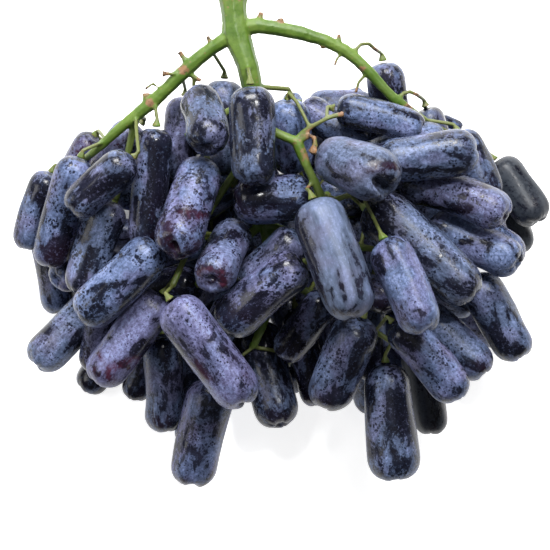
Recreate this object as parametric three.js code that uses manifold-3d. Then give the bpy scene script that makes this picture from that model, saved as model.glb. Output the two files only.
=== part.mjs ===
// A bunch of long dark grapes on its green stem, picked and laid on its back.
// Millimetres. +X runs across the bunch, +Y towards the cut stalk, +Z up from the table.
import * as THREE from 'three';
import { mergeVertices } from 'three/addons/utils/BufferGeometryUtils.js';
import Module from 'manifold-3d';

const wasm = await Module();
wasm.setup();

// Driving dimensions

// The plan is drawn as an eye straight above the table sees it, at the scale of one level.
const EYE_HEIGHT = 520;
const PLAN_LEVEL = 45;

const GAP = 0.35;
const FLAT_DEPTH = 1;

const BERRY_SIDES = 10;
const BACK_SIDES = 7;
const PARTNER_PRESS = 2.9;
const END_ROUNDNESS = 2.4;
const CONTACT_INSET = 0.75;
const TIP_PIT_DEPTH = 1.3;
const STALK_PIT_DEPTH = 0.9;
const BERRY_OVAL = 0.035;
const BERRY_LOBE = 0.02;
const TAPER_RANGE = [-0.05, 0.06];
const BEND_RANGE = [0.2, 1.3];

const BRANCH_SIDES = 8;
const BRANCH_STEP = 7;
const TWIG_STEP = 3.5;
const STALK_SIDES = 5;
const STALK_RADIUS = 0.95;
const DISC_RADIUS = 2;
const DISC_GAP = 0.45;

const SKIN_COLOUR = 0x2b2b45;
const STEM_COLOUR = 0x86b04a;

// Bodies that touch push each other apart, most easily up and down.
const SIDEWAYS_GIVE = 0.22;
const STALK_GIVE = 6;
const PULL_ACROSS = 0.03;
const PULL_UPRIGHT = 0.02;
const PULL_FADE = 1.6;
const RESTING_REACH = 1.5;
const RESTING_PULL = 0.15;
const CHAIN_SMOOTHING = 0.14;
const INNER_GIVE = 1.5;
const REACH_MARGIN = 1;
const MIDDLE_SHARE = 2 / 3;
const END_SHARE = -1 / 3;
const TINY = 1e-9;

// How many rounds each stage of settling takes, and how hard the places of the plan hold.
const STAGES = {
  berries: { rounds: 260, hold: 1 },
  branches: { rounds: 160, hold: 0.6 },
  stalks: { rounds: 320, hold: 0.3 },
};

// Plan of the berries, by the part of the bunch they are in.
// Each runs from its stalk end to its tip, as x, y on the plan and height over the table.

const BERRIES = {
  left: [
    { stalk: [-78, 36, 30], tip: [-90, 9.5, 24], wide: 13 },
    { stalk: [-70, 43, 40], tip: [-79, 2, 32], wide: 14 },
    { stalk: [-51, 42, 54], tip: [-74, 23.5, 52], wide: 14.5 },
    { stalk: [-57, 26, 40], tip: [-72, -6, 36], wide: 15 },
    { stalk: [-43, 53, 50], tip: [-49, 10, 46], wide: 13.5 },
    { stalk: [-49, 54, 38], tip: [-63, 33, 33], wide: 14 },
    { stalk: [-64, 51, 24], tip: [-78, 28, 18], wide: 12 },
    { stalk: [-84, 22, 12], tip: [-77, -14, 8], wide: 14.5 },
    { stalk: [-26.5, 43, 54], tip: [-32, 4, 60], wide: 17 },
    { stalk: [-11, 20, 48], tip: [-25.5, -4, 70], wide: 15.5 },
    { stalk: [-62, -6, 32], tip: [-86, -32, 28], wide: 15 },
    { stalk: [-42, 12, 50], tip: [-70, -15, 50], wide: 16.5 },
    { stalk: [-41, -7, 46], tip: [-64, -39, 44], wide: 16 },
    { stalk: [-50, -14, 12], tip: [-69, -41, 7], wide: 12.5 },
    { stalk: [-45, -12, 14], tip: [-49, -45, 8], wide: 11.5 },
    { stalk: [-41, -21, 30], tip: [-38, -57, 28], wide: 15 },
    { stalk: [-37, -9, 66], tip: [-10, -46, 66], wide: 18 },
    { stalk: [-22, -38, 34], tip: [-31, -75.5, 30], wide: 17 },
    { stalk: [-31, 64, 36], tip: [-36, 34, 34], wide: 13 },
  ],
  middle: [
    { stalk: [13, 30, 46], tip: [-15, 23, 44], wide: 17.5 },
    { stalk: [7, 18, 48], tip: [-9, -4, 40], wide: 15 },
    { stalk: [10, 6, 56], tip: [-21, -18, 56], wide: 17 },
    { stalk: [14, 27, 78], tip: [30, -15, 80], wide: 20 },
    { stalk: [20, -6, 38], tip: [2, -30, 33], wide: 13 },
    { stalk: [7, -12, 24], tip: [12, -48, 22], wide: 13 },
    { stalk: [-3, -15, 30], tip: [4, -53, 24], wide: 17 },
    { stalk: [32, -14.5, 51], tip: [18, -48, 48], wide: 18 },
    { stalk: [34, -8, 32], tip: [35, -38, 30], wide: 11.5 },
    { stalk: [17.2, 43.6, 67], tip: [42.4, 33.4, 86], wide: 20.4, taper: 0.06 },
    { stalk: [8, 60, 46], tip: [34, 48, 42], wide: 13 },
    { stalk: [12, 60, 32], tip: [36, 60, 30], wide: 13 },
  ],
  right: [
    { stalk: [38.6, 76.5, 38], tip: [43, 48, 32], wide: 14 },
    { stalk: [22, 59.6, 58], tip: [53, 52.4, 54], wide: 13 },
    { stalk: [55.4, 60.6, 40], tip: [64, 38, 34], wide: 11.8 },
    { stalk: [37, 40.6, 64], tip: [73, 45, 66], wide: 16.5 },
    { stalk: [66, 50, 34], tip: [77, 27, 46], wide: 15 },
    { stalk: [79.5, 41, 24], tip: [95, 19, 30], wide: 14.5 },
    { stalk: [76, 36, 12], tip: [89, 8, 8], wide: 13 },
    { stalk: [43, 30, 60], tip: [84, 22, 57], wide: 15.5, bend: [1, 1.5, 0] },
    { stalk: [36, 28.2, 54], tip: [67, -8, 66], wide: 20.6, taper: -0.13, bend: [1.6, 2, 0] },
    { stalk: [54, 18, 56], tip: [88, 4, 54], wide: 15.5 },
    { stalk: [38.6, 10.4, 70], tip: [54, -19, 86], wide: 17.2 },
    { stalk: [72, 0, 46], tip: [87, -31, 44], wide: 16 },
    { stalk: [50, -13, 47], tip: [77, -34, 45], wide: 16 },
    { stalk: [43, -17, 58], tip: [67, -44, 56], wide: 15 },
    { stalk: [39, -32, 48], tip: [44, -74, 48], wide: 18, taper: 0.1 },
    { stalk: [50, -22, 28], tip: [57, -57, 25], wide: 13.5 },
  ],
  crown: [
    { stalk: [-20, 70, 44], tip: [-18, 36, 48], wide: 16 },
    { stalk: [-8, 67, 60], tip: [-7, 33, 67], wide: 17 },
    { stalk: [6, 64, 50], tip: [5, 36, 44], wide: 15.5 },
    { stalk: [-28, 65, 48], tip: [-24, 46, 67], wide: 15.5 },
  ],
};

// The back berries fan out round the middle of the bunch and carry it on the table.
const BACK = {
  count: 8,
  centre: [-2, 14],
  reach: [[24, 20], [64, 52]],
  heights: [15, 7],
  radii: [7.4, 8.3],
  firstAngle: 0.2,
};

// Berries that grew pressed against a back berry and make one body with it.
const PARTNERS = [
  { beside: 'berry_back_01', stalk: [38, 10, 32], tip: [70, 12, 16], wide: 14.5 },
  { beside: 'berry_back_02', stalk: [24, 38, 30], tip: [51, 46, 14], wide: 13 },
  { beside: 'berry_back_03', stalk: [-8, 47, 28], tip: [-33, 47, 14], wide: 13.5 },
  { beside: 'berry_back_04', stalk: [-33, 47, 22], tip: [-58, 27, 23], wide: 13.5 },
  { beside: 'berry_back_05', stalk: [-44, 13, 24], tip: [-76, 18, 17], wide: 13.5 },
  { beside: 'berry_back_06', stalk: [-27, -26, 23], tip: [-40, -48, 7], wide: 14 },
  { beside: 'berry_back_07', stalk: [18, -6, 22], tip: [25, -34, 12], wide: 13 },
  { beside: 'berry_back_08', stalk: [34, -16, 23], tip: [61, -24, 12], wide: 13 },
  { beside: 'berry_back_08', stalk: [30, -23, 9], tip: [61, -39, 8], wide: 14.5 },
];

// Plan of the stem: x, y on the plan, height over the table and thickness.

const BRANCHES = {
  axis: [
    [-15, 100, 52, 11.2], [-15, 98.6, 52, 10], [-14.6, 93, 52, 9.4], [-14, 87, 52, 10.4],
    [-11.5, 80, 52.5, 8.6], [-9.5, 74, 52.5, 8], [-8, 66, 50, 7.2], [-7, 60, 48, 6.8],
    [-5, 45, 45, 6], [-5, 30, 43, 5.4], [-3, 15, 41, 4.8], [0, 0, 37, 4.2], [-3, -14, 33, 3.6],
    [-8, -26, 30, 3],
  ],
  leftShoulder: [
    [-14, 87, 52, 6], [-20, 83.5, 51.5, 5.2], [-25, 80, 51, 4.9], [-32, 74, 50, 5.4],
    [-38, 68, 49, 4.6], [-45, 61.5, 47, 4.9], [-52, 56, 45.5, 4], [-58, 51, 44, 3.6],
    [-65, 44.5, 41, 3.2], [-69, 41.5, 35, 2.6],
  ],
  rightShoulder: [
    [-13, 89, 52, 6.4], [-6, 89.8, 52, 5.6], [0, 89, 52, 5.4], [10, 87, 51.5, 5],
    [18, 84.5, 51, 4.4], [25, 81, 50.5, 4.4], [30, 77, 50, 4.2], [35, 72, 49, 3.9],
    [40, 66.5, 48, 3.5], [44, 62.5, 46.5, 4], [48, 60, 44.5, 3], [54, 56, 40, 2.6],
  ],
  frontLateral: [
    [-7.5, 62, 49, 4], [-7, 57, 56, 3.6], [-3, 53, 60, 3.4], [3, 50, 61, 3.4], [8, 48, 61, 4.4],
    [12, 38, 60, 3.3], [16, 30, 59, 3.2], [18, 26, 58, 3.2],
  ],
};

// Stubs and twigs on the outside of the stem, where berries have come off.
const TWIGS = [
  [[-23, 82.5, 52, 2.2], [-24.2, 86, 53, 1.8]],
  [[-31, 75.5, 50, 2.6], [-34.4, 80.4, 51, 2.2]],
  [[-33, 73, 50, 2.4], [-37, 72.4, 52, 1.6], [-40.4, 72.6, 53, 2.6]],
  [[-31.5, 73, 50, 2.2], [-26.8, 70, 50, 2]],
  [[-43.5, 63, 48, 2.2], [-41.2, 67, 49, 1.6], [-44, 69, 50, 1.5], [-46.8, 67, 50, 1.5]],
  [[-46, 61.5, 47, 3], [-46.4, 65.4, 48, 2.6]],
  [[-6, 90, 52, 2.6], [-5, 94.6, 53, 2]],
  [[2, 89, 52, 3.2], [2, 92.4, 53, 2.6]],
  [[17, 85, 51, 2], [17.2, 81.6, 51, 1.6]],
  [[23, 82, 51, 2.4], [23, 86.8, 52, 1.8]],
  [[25, 81, 50.5, 2], [22.4, 78, 51, 1.3], [21.4, 75.4, 51, 1.2]],
  [[29, 78, 50, 2.4], [29.4, 82, 50.5, 2], [33, 83.6, 49, 1.9], [36, 81.4, 46, 1.9]],
  [[34.6, 72.4, 49, 2.2], [31, 71, 49, 1.5], [29, 65.6, 48, 1.6]],
  [[44, 63, 46.5, 2.4], [47.4, 66.2, 46, 2], [51, 65, 45, 1.8]],
  [[8, 48, 61, 3.6], [11, 52, 62, 2.6], [16, 55, 63, 2.2], [20, 57, 63, 2.2], [24.6, 58, 62, 2.8]],
  [[8.5, 48.5, 61, 3], [13.4, 50.4, 63, 2.2], [14.6, 47.6, 64, 2.6], [13.2, 44, 64, 3]],
  [[14, 34, 59.6, 2.2], [11.4, 31, 61, 2]],
];

// Branches inside the bunch, which give way to the berries.
const INNER_BRANCHES = {
  leftDeep: [[-50, 57.5, 45, 3.4], [-54, 42, 36, 3], [-60, 24, 28, 2.8], [-64, 6, 24, 2.4]],
  leftHigh: [[-5.5, 50, 46, 3.6], [-20, 36, 42, 3.2], [-36, 18, 40, 3], [-38, 4, 46, 2.8],
    [-37, -4, 54, 3]],
  leftLow: [[-4, 20, 42, 3.6], [-18, 4, 36, 3.2], [-34, -12, 28, 2.8], [-44, -20, 22, 2.4]],
  crownLeft: [[-8, 64, 49, 3.4], [-22, 56, 40, 3], [-32, 50, 44, 2.6]],
  crownRight: [[-8.4, 68, 50, 3], [-2, 69, 44, 2.6], [5, 67, 40, 2.4]],
  rightHigh: [[18, 26, 58, 3], [27, 20, 58, 2.8], [36, 24, 60, 2.6]],
  rightMiddle: [[-3, 18, 42, 3.6], [14, 10, 42, 3.2], [32, 4, 44, 3], [50, 8, 46, 2.8],
    [64, 8, 44, 2.4]],
  rightLow: [[0, 0, 37, 3.6], [14, -8, 38, 3.2], [30, -14, 40, 2.8], [42, -24, 40, 2.6]],
  underLeft: [[-5, 34, 43, 3], [-16, 26, 28, 2.6], [-24, 22, 20, 2.4]],
  underRight: [[-4, 26, 43, 3], [10, 20, 28, 2.6], [20, 18, 20, 2.4]],
};

// Seeded chance

function makeChance(seed) {
  let state = seed;
  return (low, high) => {
    state = (state * 1664525 + 1013904223) % 4294967296;
    return low + ((high - low) * state) / 4294967296;
  };
}

const chance = makeChance(20731);

// Places

function viewScale(height) {
  return (EYE_HEIGHT - height) / (EYE_HEIGHT - PLAN_LEVEL);
}

function placeFromPlan([x, y, height]) {
  const scale = viewScale(height);
  return new THREE.Vector3(x * scale, y * scale, height);
}

function acrossVector(direction, angle) {
  const side = new THREE.Vector3(0, 0, 1).cross(direction).normalize();
  const over = direction.clone().cross(side).normalize();
  return side.multiplyScalar(Math.cos(angle)).addScaledVector(over, Math.sin(angle));
}

// A berry starts as three bodies on its axis: near the stalk end, halfway, and near the tip.

function makeBerry(name, stalkPlace, tipPlace, radius, taper, bend) {
  const axis = tipPlace.clone().sub(stalkPlace).normalize();
  const stalkRadius = radius * (1 - taper);
  const tipRadius = radius * (1 + taper);
  const first = stalkPlace.clone().addScaledVector(axis, stalkRadius * CONTACT_INSET);
  const last = tipPlace.clone().addScaledVector(axis, -tipRadius * CONTACT_INSET);
  const middle = first.clone().add(last).multiplyScalar(0.5).add(bend);
  const beads = [
    { place: first, radius: stalkRadius, give: 1, sideways: SIDEWAYS_GIVE },
    { place: middle, radius, give: 1, sideways: SIDEWAYS_GIVE },
    { place: last, radius: tipRadius, give: 1, sideways: SIDEWAYS_GIVE },
  ];
  beads.forEach((bead) => {
    bead.home = bead.place.clone();
  });
  return { name, beads, bend, span: first.distanceTo(last) };
}

function randomBend(stalkPlace, tipPlace) {
  const direction = tipPlace.clone().sub(stalkPlace).normalize();
  const reach = chance(...BEND_RANGE);
  return acrossVector(direction, chance(0, 2 * Math.PI)).multiplyScalar(reach);
}

function plannedBerries() {
  const berries = [];
  for (const [part, plans] of Object.entries(BERRIES)) {
    plans.forEach((plan, index) => {
      const stalkPlace = placeFromPlan(plan.stalk);
      const tipPlace = placeFromPlan(plan.tip);
      const radius = (plan.wide / 2) * viewScale((plan.stalk[2] + plan.tip[2]) / 2);
      const taper = plan.taper ?? chance(...TAPER_RANGE);
      const drift = randomBend(stalkPlace, tipPlace);
      const bend = plan.bend ? new THREE.Vector3(...plan.bend) : drift;
      const name = `berry_${part}_${String(index + 1).padStart(2, '0')}`;
      berries.push(makeBerry(name, stalkPlace, tipPlace, radius, taper, bend));
    });
  }
  return berries;
}

function backBerries() {
  const berries = [];
  for (let index = 0; index < BACK.count; index += 1) {
    const angle = BACK.firstAngle + (index * 2 * Math.PI) / BACK.count;
    const [stalkPlace, tipPlace] = BACK.reach.map(([reachX, reachY], end) => {
      const x = BACK.centre[0] + reachX * Math.cos(angle);
      const y = BACK.centre[1] + reachY * Math.sin(angle);
      return new THREE.Vector3(x, y, BACK.heights[end]);
    });
    const bend = randomBend(stalkPlace, tipPlace);
    const radius = chance(...BACK.radii);
    const name = `berry_back_${String(index + 1).padStart(2, '0')}`;
    const taper = chance(...TAPER_RANGE);
    const berry = makeBerry(name, stalkPlace, tipPlace, radius, taper, bend);
    berries.push({ ...berry, sides: BACK_SIDES });
  }
  return berries;
}

function partnerBerries() {
  return PARTNERS.map(({ beside, stalk, tip, wide }) => {
    const stalkPlace = placeFromPlan(stalk);
    const tipPlace = placeFromPlan(tip);
    const radius = (wide / 2) * viewScale((stalk[2] + tip[2]) / 2);
    const bend = randomBend(stalkPlace, tipPlace);
    const berry = makeBerry(beside, stalkPlace, tipPlace, radius, chance(...TAPER_RANGE), bend);
    return { ...berry, sides: BACK_SIDES };
  });
}

// Stem branches are chains of bodies; those inside the bunch can be pushed aside.

function makeBranch(points, step, give) {
  const places = points.map(placeFromPlan);
  const curve = new THREE.CatmullRomCurve3(places, false, 'centripetal');
  const count = Math.max(2, Math.round(curve.getLength() / step));
  const chain = [];
  for (let index = 0; index <= count; index += 1) {
    const along = (index / count) * (points.length - 1);
    const low = Math.min(points.length - 2, Math.floor(along));
    const share = along - low;
    const thick = points[low][3] * (1 - share) + points[low + 1][3] * share;
    const place = curve.getPoint(index / count);
    const radius = (thick / 2) * viewScale(place.z);
    chain.push({ place, radius, give: index === 0 ? 0 : give, sideways: 1 });
  }
  return chain;
}

// Settling

const nearest = { s: 0, t: 0 };

function nearestOnRods(p1, q1, p2, q2) {
  const ax = q1.x - p1.x;
  const ay = q1.y - p1.y;
  const az = q1.z - p1.z;
  const bx = q2.x - p2.x;
  const by = q2.y - p2.y;
  const bz = q2.z - p2.z;
  const cx = p1.x - p2.x;
  const cy = p1.y - p2.y;
  const cz = p1.z - p2.z;
  const aa = ax * ax + ay * ay + az * az + TINY;
  const bb = bx * bx + by * by + bz * bz + TINY;
  const ab = ax * bx + ay * by + az * bz;
  const ac = ax * cx + ay * cy + az * cz;
  const bc = bx * cx + by * cy + bz * cz;
  const spread = aa * bb - ab * ab;
  let s = spread > TINY ? (ab * bc - ac * bb) / spread : 0.5;
  s = Math.min(1, Math.max(0, s));
  const t = Math.min(1, Math.max(0, (ab * s + bc) / bb));
  s = Math.min(1, Math.max(0, (ab * t - ac) / aa));
  nearest.s = s;
  nearest.t = t;
}

const apart = new THREE.Vector3();

function rodOverlap(a, b, c, d) {
  nearestOnRods(a.place, b.place, c.place, d.place);
  const { s, t } = nearest;
  apart.copy(a.place).lerp(b.place, s);
  apart.addScaledVector(c.place, t - 1).addScaledVector(d.place, -t);
  const distance = apart.length() + TINY;
  const wanted = a.radius * (1 - s) + b.radius * s + c.radius * (1 - t) + d.radius * t;
  apart.divideScalar(distance);
  return wanted - distance;
}

function pushRods(a, b, c, d, clearance, holdTogether = false) {
  const overlap = rodOverlap(a, b, c, d) + clearance;
  if (overlap <= 0 && !holdTogether) return;
  const { s, t } = nearest;
  const flat = apart.x * apart.x + apart.y * apart.y;
  const upright = apart.z * apart.z;
  const shares = [[a, 1 - s], [b, s], [c, t - 1], [d, -t]];
  let total = 0;
  for (const [body, share] of shares) {
    total += body.give * share * share * (body.sideways * flat + upright);
  }
  if (total < TINY) return;
  const strength = overlap / total;
  for (const [body, share] of shares) {
    const move = strength * body.give * share;
    body.place.x += apart.x * move * body.sideways;
    body.place.y += apart.y * move * body.sideways;
    body.place.z += apart.z * move;
  }
}

function keepDistance(a, b, distance) {
  apart.copy(a.place).sub(b.place);
  const length = apart.length() + TINY;
  const total = a.give + b.give;
  if (total < TINY) return;
  apart.multiplyScalar((distance - length) / length / total);
  a.place.addScaledVector(apart, a.give);
  b.place.addScaledVector(apart, -b.give);
}

function keepBerryShape({ beads: [first, middle, last], bend, span }) {
  keepDistance(first, last, span);
  apart.copy(first.place).add(last.place).multiplyScalar(0.5).add(bend).sub(middle.place);
  middle.place.addScaledVector(apart, MIDDLE_SHARE);
  first.place.addScaledVector(apart, END_SHARE);
  last.place.addScaledVector(apart, END_SHARE);
}

function pullHome(bead, pull) {
  if (pull <= 0) return;
  const scale = viewScale(bead.place.z) / viewScale(bead.home.z);
  bead.place.x += (bead.home.x * scale - bead.place.x) * PULL_ACROSS * pull;
  bead.place.y += (bead.home.y * scale - bead.place.y) * PULL_ACROSS * pull;
  bead.place.z += (bead.home.z - bead.place.z) * PULL_UPRIGHT * pull;
}

function keepOverTable(bead, depth) {
  bead.place.z = Math.max(bead.place.z, bead.radius - depth);
}

function sinkToTable(bead) {
  const resting = bead.radius - FLAT_DEPTH;
  if (bead.home.z < bead.radius + RESTING_REACH) {
    bead.place.z += (resting - bead.place.z) * RESTING_PULL;
  }
}

function berryReach(berry) {
  return berry.span / 2 + berry.beads[1].radius + REACH_MARGIN;
}

function pushBerries(one, other, clearance) {
  const room = berryReach(one) + berryReach(other);
  if (one.beads[1].place.distanceTo(other.beads[1].place) > room) return;
  const bowed = (one.bend.length() + other.bend.length()) / 4;
  for (let i = 0; i < 2; i += 1) {
    for (let j = 0; j < 2; j += 1) {
      pushRods(one.beads[i], one.beads[i + 1], other.beads[j], other.beads[j + 1],
        clearance + bowed);
    }
  }
}

function pressBerries(one, other) {
  let closest = null;
  for (let i = 0; i < 2; i += 1) {
    for (let j = 0; j < 2; j += 1) {
      const rods = [one.beads[i], one.beads[i + 1], other.beads[j], other.beads[j + 1]];
      const overlap = rodOverlap(...rods);
      if (!closest || overlap > closest.overlap) closest = { overlap, rods };
    }
  }
  pushRods(...closest.rods, -PARTNER_PRESS, true);
}

function pushChain(berry, chain, last, clearance) {
  const reach = berryReach(berry) + BRANCH_STEP * 2;
  for (let link = 0; link < last; link += 1) {
    if (berry.beads[1].place.distanceTo(chain[link].place) > reach) continue;
    for (let i = 0; i < 2; i += 1) {
      pushRods(berry.beads[i], berry.beads[i + 1], chain[link], chain[link + 1], clearance);
    }
  }
}

function smoothChain(chain) {
  for (let link = 1; link < chain.length - 1; link += 1) {
    if (chain[link].give === 0) continue;
    apart.copy(chain[link - 1].place).add(chain[link + 1].place).multiplyScalar(0.5);
    chain[link].place.lerp(apart, CHAIN_SMOOTHING);
  }
}

// Each berry's stalk is a chain from a branch to the hollow at the berry's stalk end.

const STALK_LINKS = 4;
const STALK_STRAIGHT = 3.2;
const ROOT_REACH = 8;

function axisBetween(from, to, whole) {
  return to.place.clone().sub(from.place).normalize().add(whole).normalize();
}

function berryAxes({ beads: [first, middle, last] }) {
  const whole = last.place.clone().sub(first.place).normalize();
  return { atStalk: axisBetween(first, middle, whole), atTip: axisBetween(middle, last, whole) };
}

function stalkEnd(berry) {
  const [first] = berry.beads;
  const reach = first.radius * CONTACT_INSET;
  return first.place.clone().addScaledVector(berryAxes(berry).atStalk, -reach);
}

function tipEnd(berry) {
  const last = berry.beads[2];
  const reach = last.radius * CONTACT_INSET;
  return last.place.clone().addScaledVector(berryAxes(berry).atTip, reach);
}

function chooseRoot(berry, chains) {
  const outside = stalkEnd(berry).addScaledVector(berryAxes(berry).atStalk, -ROOT_REACH);
  let best = null;
  for (const chain of chains) {
    for (const body of chain) {
      const cost = outside.distanceTo(body.place);
      if (!best || cost < best.cost) best = { cost, body };
    }
  }
  return best.body;
}

function makeStalk(berry, root) {
  const end = stalkEnd(berry);
  const outside = end.clone().addScaledVector(berryAxes(berry).atStalk, -STALK_STRAIGHT);
  const chain = [];
  for (let link = 0; link < STALK_LINKS; link += 1) {
    const place = root.place.clone().lerp(outside, link / (STALK_LINKS - 1));
    chain.push({ place, radius: STALK_RADIUS, give: link === 0 ? 0 : STALK_GIVE, sideways: 1 });
  }
  chain.push({ place: end, radius: STALK_RADIUS, give: 0, sideways: 1 });
  return { berry, chain };
}

function followBerry({ berry, chain }) {
  const [outside, end] = chain.slice(-2);
  end.place.copy(stalkEnd(berry));
  outside.place.copy(end.place).addScaledVector(berryAxes(berry).atStalk, -STALK_STRAIGHT);
}

function settle(berries, fixedChains, looseChains, stalks, { rounds, hold }) {
  for (let round = 0; round < rounds; round += 1) {
    const pull = hold * Math.max(0, 1 - (PULL_FADE * round) / rounds);
    for (const berry of berries) {
      for (const bead of berry.beads) {
        pullHome(bead, pull);
        sinkToTable(bead);
      }
      keepBerryShape(berry);
    }
    for (const chain of looseChains) smoothChain(chain);
    for (const stalk of stalks) {
      smoothChain(stalk.chain);
      followBerry(stalk);
    }
    for (let one = 0; one < berries.length; one += 1) {
      for (let other = one + 1; other < berries.length; other += 1) {
        const pressed = berries[one].name === berries[other].name;
        if (pressed) pressBerries(berries[one], berries[other]);
        else pushBerries(berries[one], berries[other], GAP);
      }
      for (const chain of [...fixedChains, ...looseChains]) {
        pushChain(berries[one], chain, chain.length - 1, GAP);
      }
      for (const { berry, chain } of stalks) {
        const freeLinks = chain.length - (berry === berries[one] ? 3 : 1);
        pushChain(berries[one], chain, freeLinks, GAP);
      }
    }
    for (const berry of berries) {
      keepBerryShape(berry);
      berry.beads.forEach((bead) => keepOverTable(bead, FLAT_DEPTH));
    }
    const looseBodies = [...looseChains, ...stalks.map((stalk) => stalk.chain)].flat();
    looseBodies.forEach((body) => keepOverTable(body, -GAP));
  }
}

// Solids

function loft(rings, startTip, endTip) {
  const sides = rings[0].length;
  const points = [startTip, ...rings.flat(), endTip];
  const faces = [];
  const at = (ring, side) => 1 + ring * sides + (side % sides);
  const lastRing = rings.length - 1;
  const finish = points.length - 1;
  for (let side = 0; side < sides; side += 1) {
    faces.push(0, at(0, side + 1), at(0, side));
    faces.push(finish, at(lastRing, side), at(lastRing, side + 1));
    for (let ring = 0; ring < lastRing; ring += 1) {
      faces.push(at(ring, side), at(ring, side + 1), at(ring + 1, side));
      faces.push(at(ring, side + 1), at(ring + 1, side + 1), at(ring + 1, side));
    }
  }
  const geometry = new THREE.BufferGeometry();
  const numbers = points.flatMap((point) => [point.x, point.y, point.z]);
  geometry.setAttribute('position', new THREE.Float32BufferAttribute(numbers, 3));
  geometry.setIndex(faces);
  return geometry;
}

function solidFrom(geometry) {
  const bare = geometry.clone();
  bare.deleteAttribute('normal');
  bare.deleteAttribute('uv');
  const merged = mergeVertices(bare, 1e-4);
  const vertProperties = new Float32Array(merged.attributes.position.array);
  const triVerts = new Uint32Array(merged.index.array);
  return new wasm.Manifold(new wasm.Mesh({ numProp: 3, vertProperties, triVerts }));
}

function geometryFrom(solid) {
  const mesh = solid.getMesh();
  const geometry = new THREE.BufferGeometry();
  const places = new Float32Array(mesh.vertProperties);
  geometry.setAttribute('position', new THREE.BufferAttribute(places, 3));
  geometry.setIndex(new THREE.BufferAttribute(new Uint32Array(mesh.triVerts), 1));
  return geometry;
}

const TABLE_BLOCK = 600;

function overTable(solid) {
  const block = new THREE.BoxGeometry(TABLE_BLOCK, TABLE_BLOCK, TABLE_BLOCK);
  block.translate(0, 0, TABLE_BLOCK / 2);
  return solid.intersect(solidFrom(block));
}

// A berry: a blunt finger with a hollow at the stalk end and a pit at the tip.

const END_ANGLES = [17, 42, 68];
const BODY_STATIONS = [0.36, 0.66];

function berryForm(berry) {
  const control = berry.beads[1].place.clone().add(berry.bend);
  return {
    curve: new THREE.QuadraticBezierCurve3(stalkEnd(berry), control, tipEnd(berry)),
    sides: berry.sides ?? BERRY_SIDES,
    turn: chance(0, Math.PI / BERRY_SIDES),
    oval: chance(0, BERRY_OVAL),
    ovalTurn: chance(0, Math.PI),
    lobe: chance(0, BERRY_LOBE),
    lobeTurn: chance(0, Math.PI),
  };
}

function endRing(radius, degrees) {
  const angle = THREE.MathUtils.degToRad(degrees);
  const out = radius * Math.sin(angle) ** (2 / END_ROUNDNESS);
  const inward = radius * (1 - Math.cos(angle) ** (2 / END_ROUNDNESS));
  return { out, inward };
}

function berryStations(berry, length) {
  const [first, , last] = berry.beads;
  const stations = [];
  for (const degrees of END_ANGLES) {
    const { out, inward } = endRing(first.radius, degrees);
    stations.push({ along: inward / length, out });
  }
  for (const along of BODY_STATIONS) {
    stations.push({ along, out: THREE.MathUtils.lerp(first.radius, last.radius, along) });
  }
  for (const degrees of END_ANGLES.toReversed()) {
    const { out, inward } = endRing(last.radius, degrees);
    stations.push({ along: 1 - inward / length, out });
  }
  return stations;
}

function berryRing(form, side, { along, out }) {
  const { curve, sides, oval, ovalTurn, lobe, lobeTurn } = form;
  const centre = curve.getPoint(along);
  const axis = curve.getTangent(along);
  const across = side.clone().addScaledVector(axis, -side.dot(axis)).normalize();
  const over = axis.clone().cross(across);
  const ring = [];
  for (let index = 0; index < sides; index += 1) {
    const angle = (index * 2 * Math.PI) / sides;
    const flattened = oval * (Math.cos(2 * (angle - ovalTurn)) - 1);
    const lobed = lobe * (Math.cos(3 * (angle - lobeTurn)) - 1);
    const reach = out * (1 + flattened + lobed);
    const point = centre.clone().addScaledVector(across, reach * Math.cos(angle));
    ring.push(point.addScaledVector(over, reach * Math.sin(angle)));
  }
  return ring;
}

function berryGeometry(berry) {
  const form = berryForm(berry);
  const { curve, turn } = form;
  const side = acrossVector(berryAxes(berry).atTip, turn);
  const stations = berryStations(berry, curve.getLength());
  const rings = stations.map((station) => berryRing(form, side, station));
  const hollow = curve.getPoint(0).addScaledVector(curve.getTangent(0), STALK_PIT_DEPTH);
  const pit = curve.getPoint(1).addScaledVector(curve.getTangent(1), -TIP_PIT_DEPTH);
  return loft(rings, hollow, pit);
}

// A stem branch: a tapered round tube along its chain, with blunt ends.

function tubeGeometry(bodies, sides) {
  const places = bodies.map((body) => body.place);
  const curve = new THREE.CatmullRomCurve3(places, false, 'centripetal');
  const frames = curve.computeFrenetFrames(places.length - 1, false);
  const rings = bodies.map(({ place, radius }, index) => {
    const ring = [];
    for (let turn = 0; turn < sides; turn += 1) {
      const angle = (turn * 2 * Math.PI) / sides;
      const point = place.clone();
      point.addScaledVector(frames.normals[index], radius * Math.cos(angle));
      point.addScaledVector(frames.binormals[index], radius * Math.sin(angle));
      ring.push(point);
    }
    return ring;
  });
  return loft(rings, places[0], places[places.length - 1]);
}

// A berry's own stalk ends in a small flared disc just clear of the hollow.

function stalkGeometry({ berry, chain }) {
  const disc = stalkEnd(berry).addScaledVector(berryAxes(berry).atStalk, -DISC_GAP);
  const bodies = [...chain.slice(0, -1), { place: disc, radius: DISC_RADIUS }];
  return tubeGeometry(bodies, STALK_SIDES);
}

function stemSolid(mainChains, thinChains, stalks) {
  const pieces = [
    ...mainChains.map((chain) => tubeGeometry(chain, BRANCH_SIDES)),
    ...thinChains.map((chain) => tubeGeometry(chain, STALK_SIDES)),
    ...stalks.map(stalkGeometry),
  ];
  return pieces.map(solidFrom).reduce((stem, piece) => stem.add(piece));
}

// The bunch

const stalkedBerries = [...plannedBerries(), ...backBerries()];
const berries = [...stalkedBerries, ...partnerBerries()];
const mainChains = Object.values(BRANCHES).map((points) => makeBranch(points, BRANCH_STEP, 0));
const twigs = TWIGS.map((points) => makeBranch(points, TWIG_STEP, 0));
settle(berries, [...mainChains, ...twigs], [], [], STAGES.berries);

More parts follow.
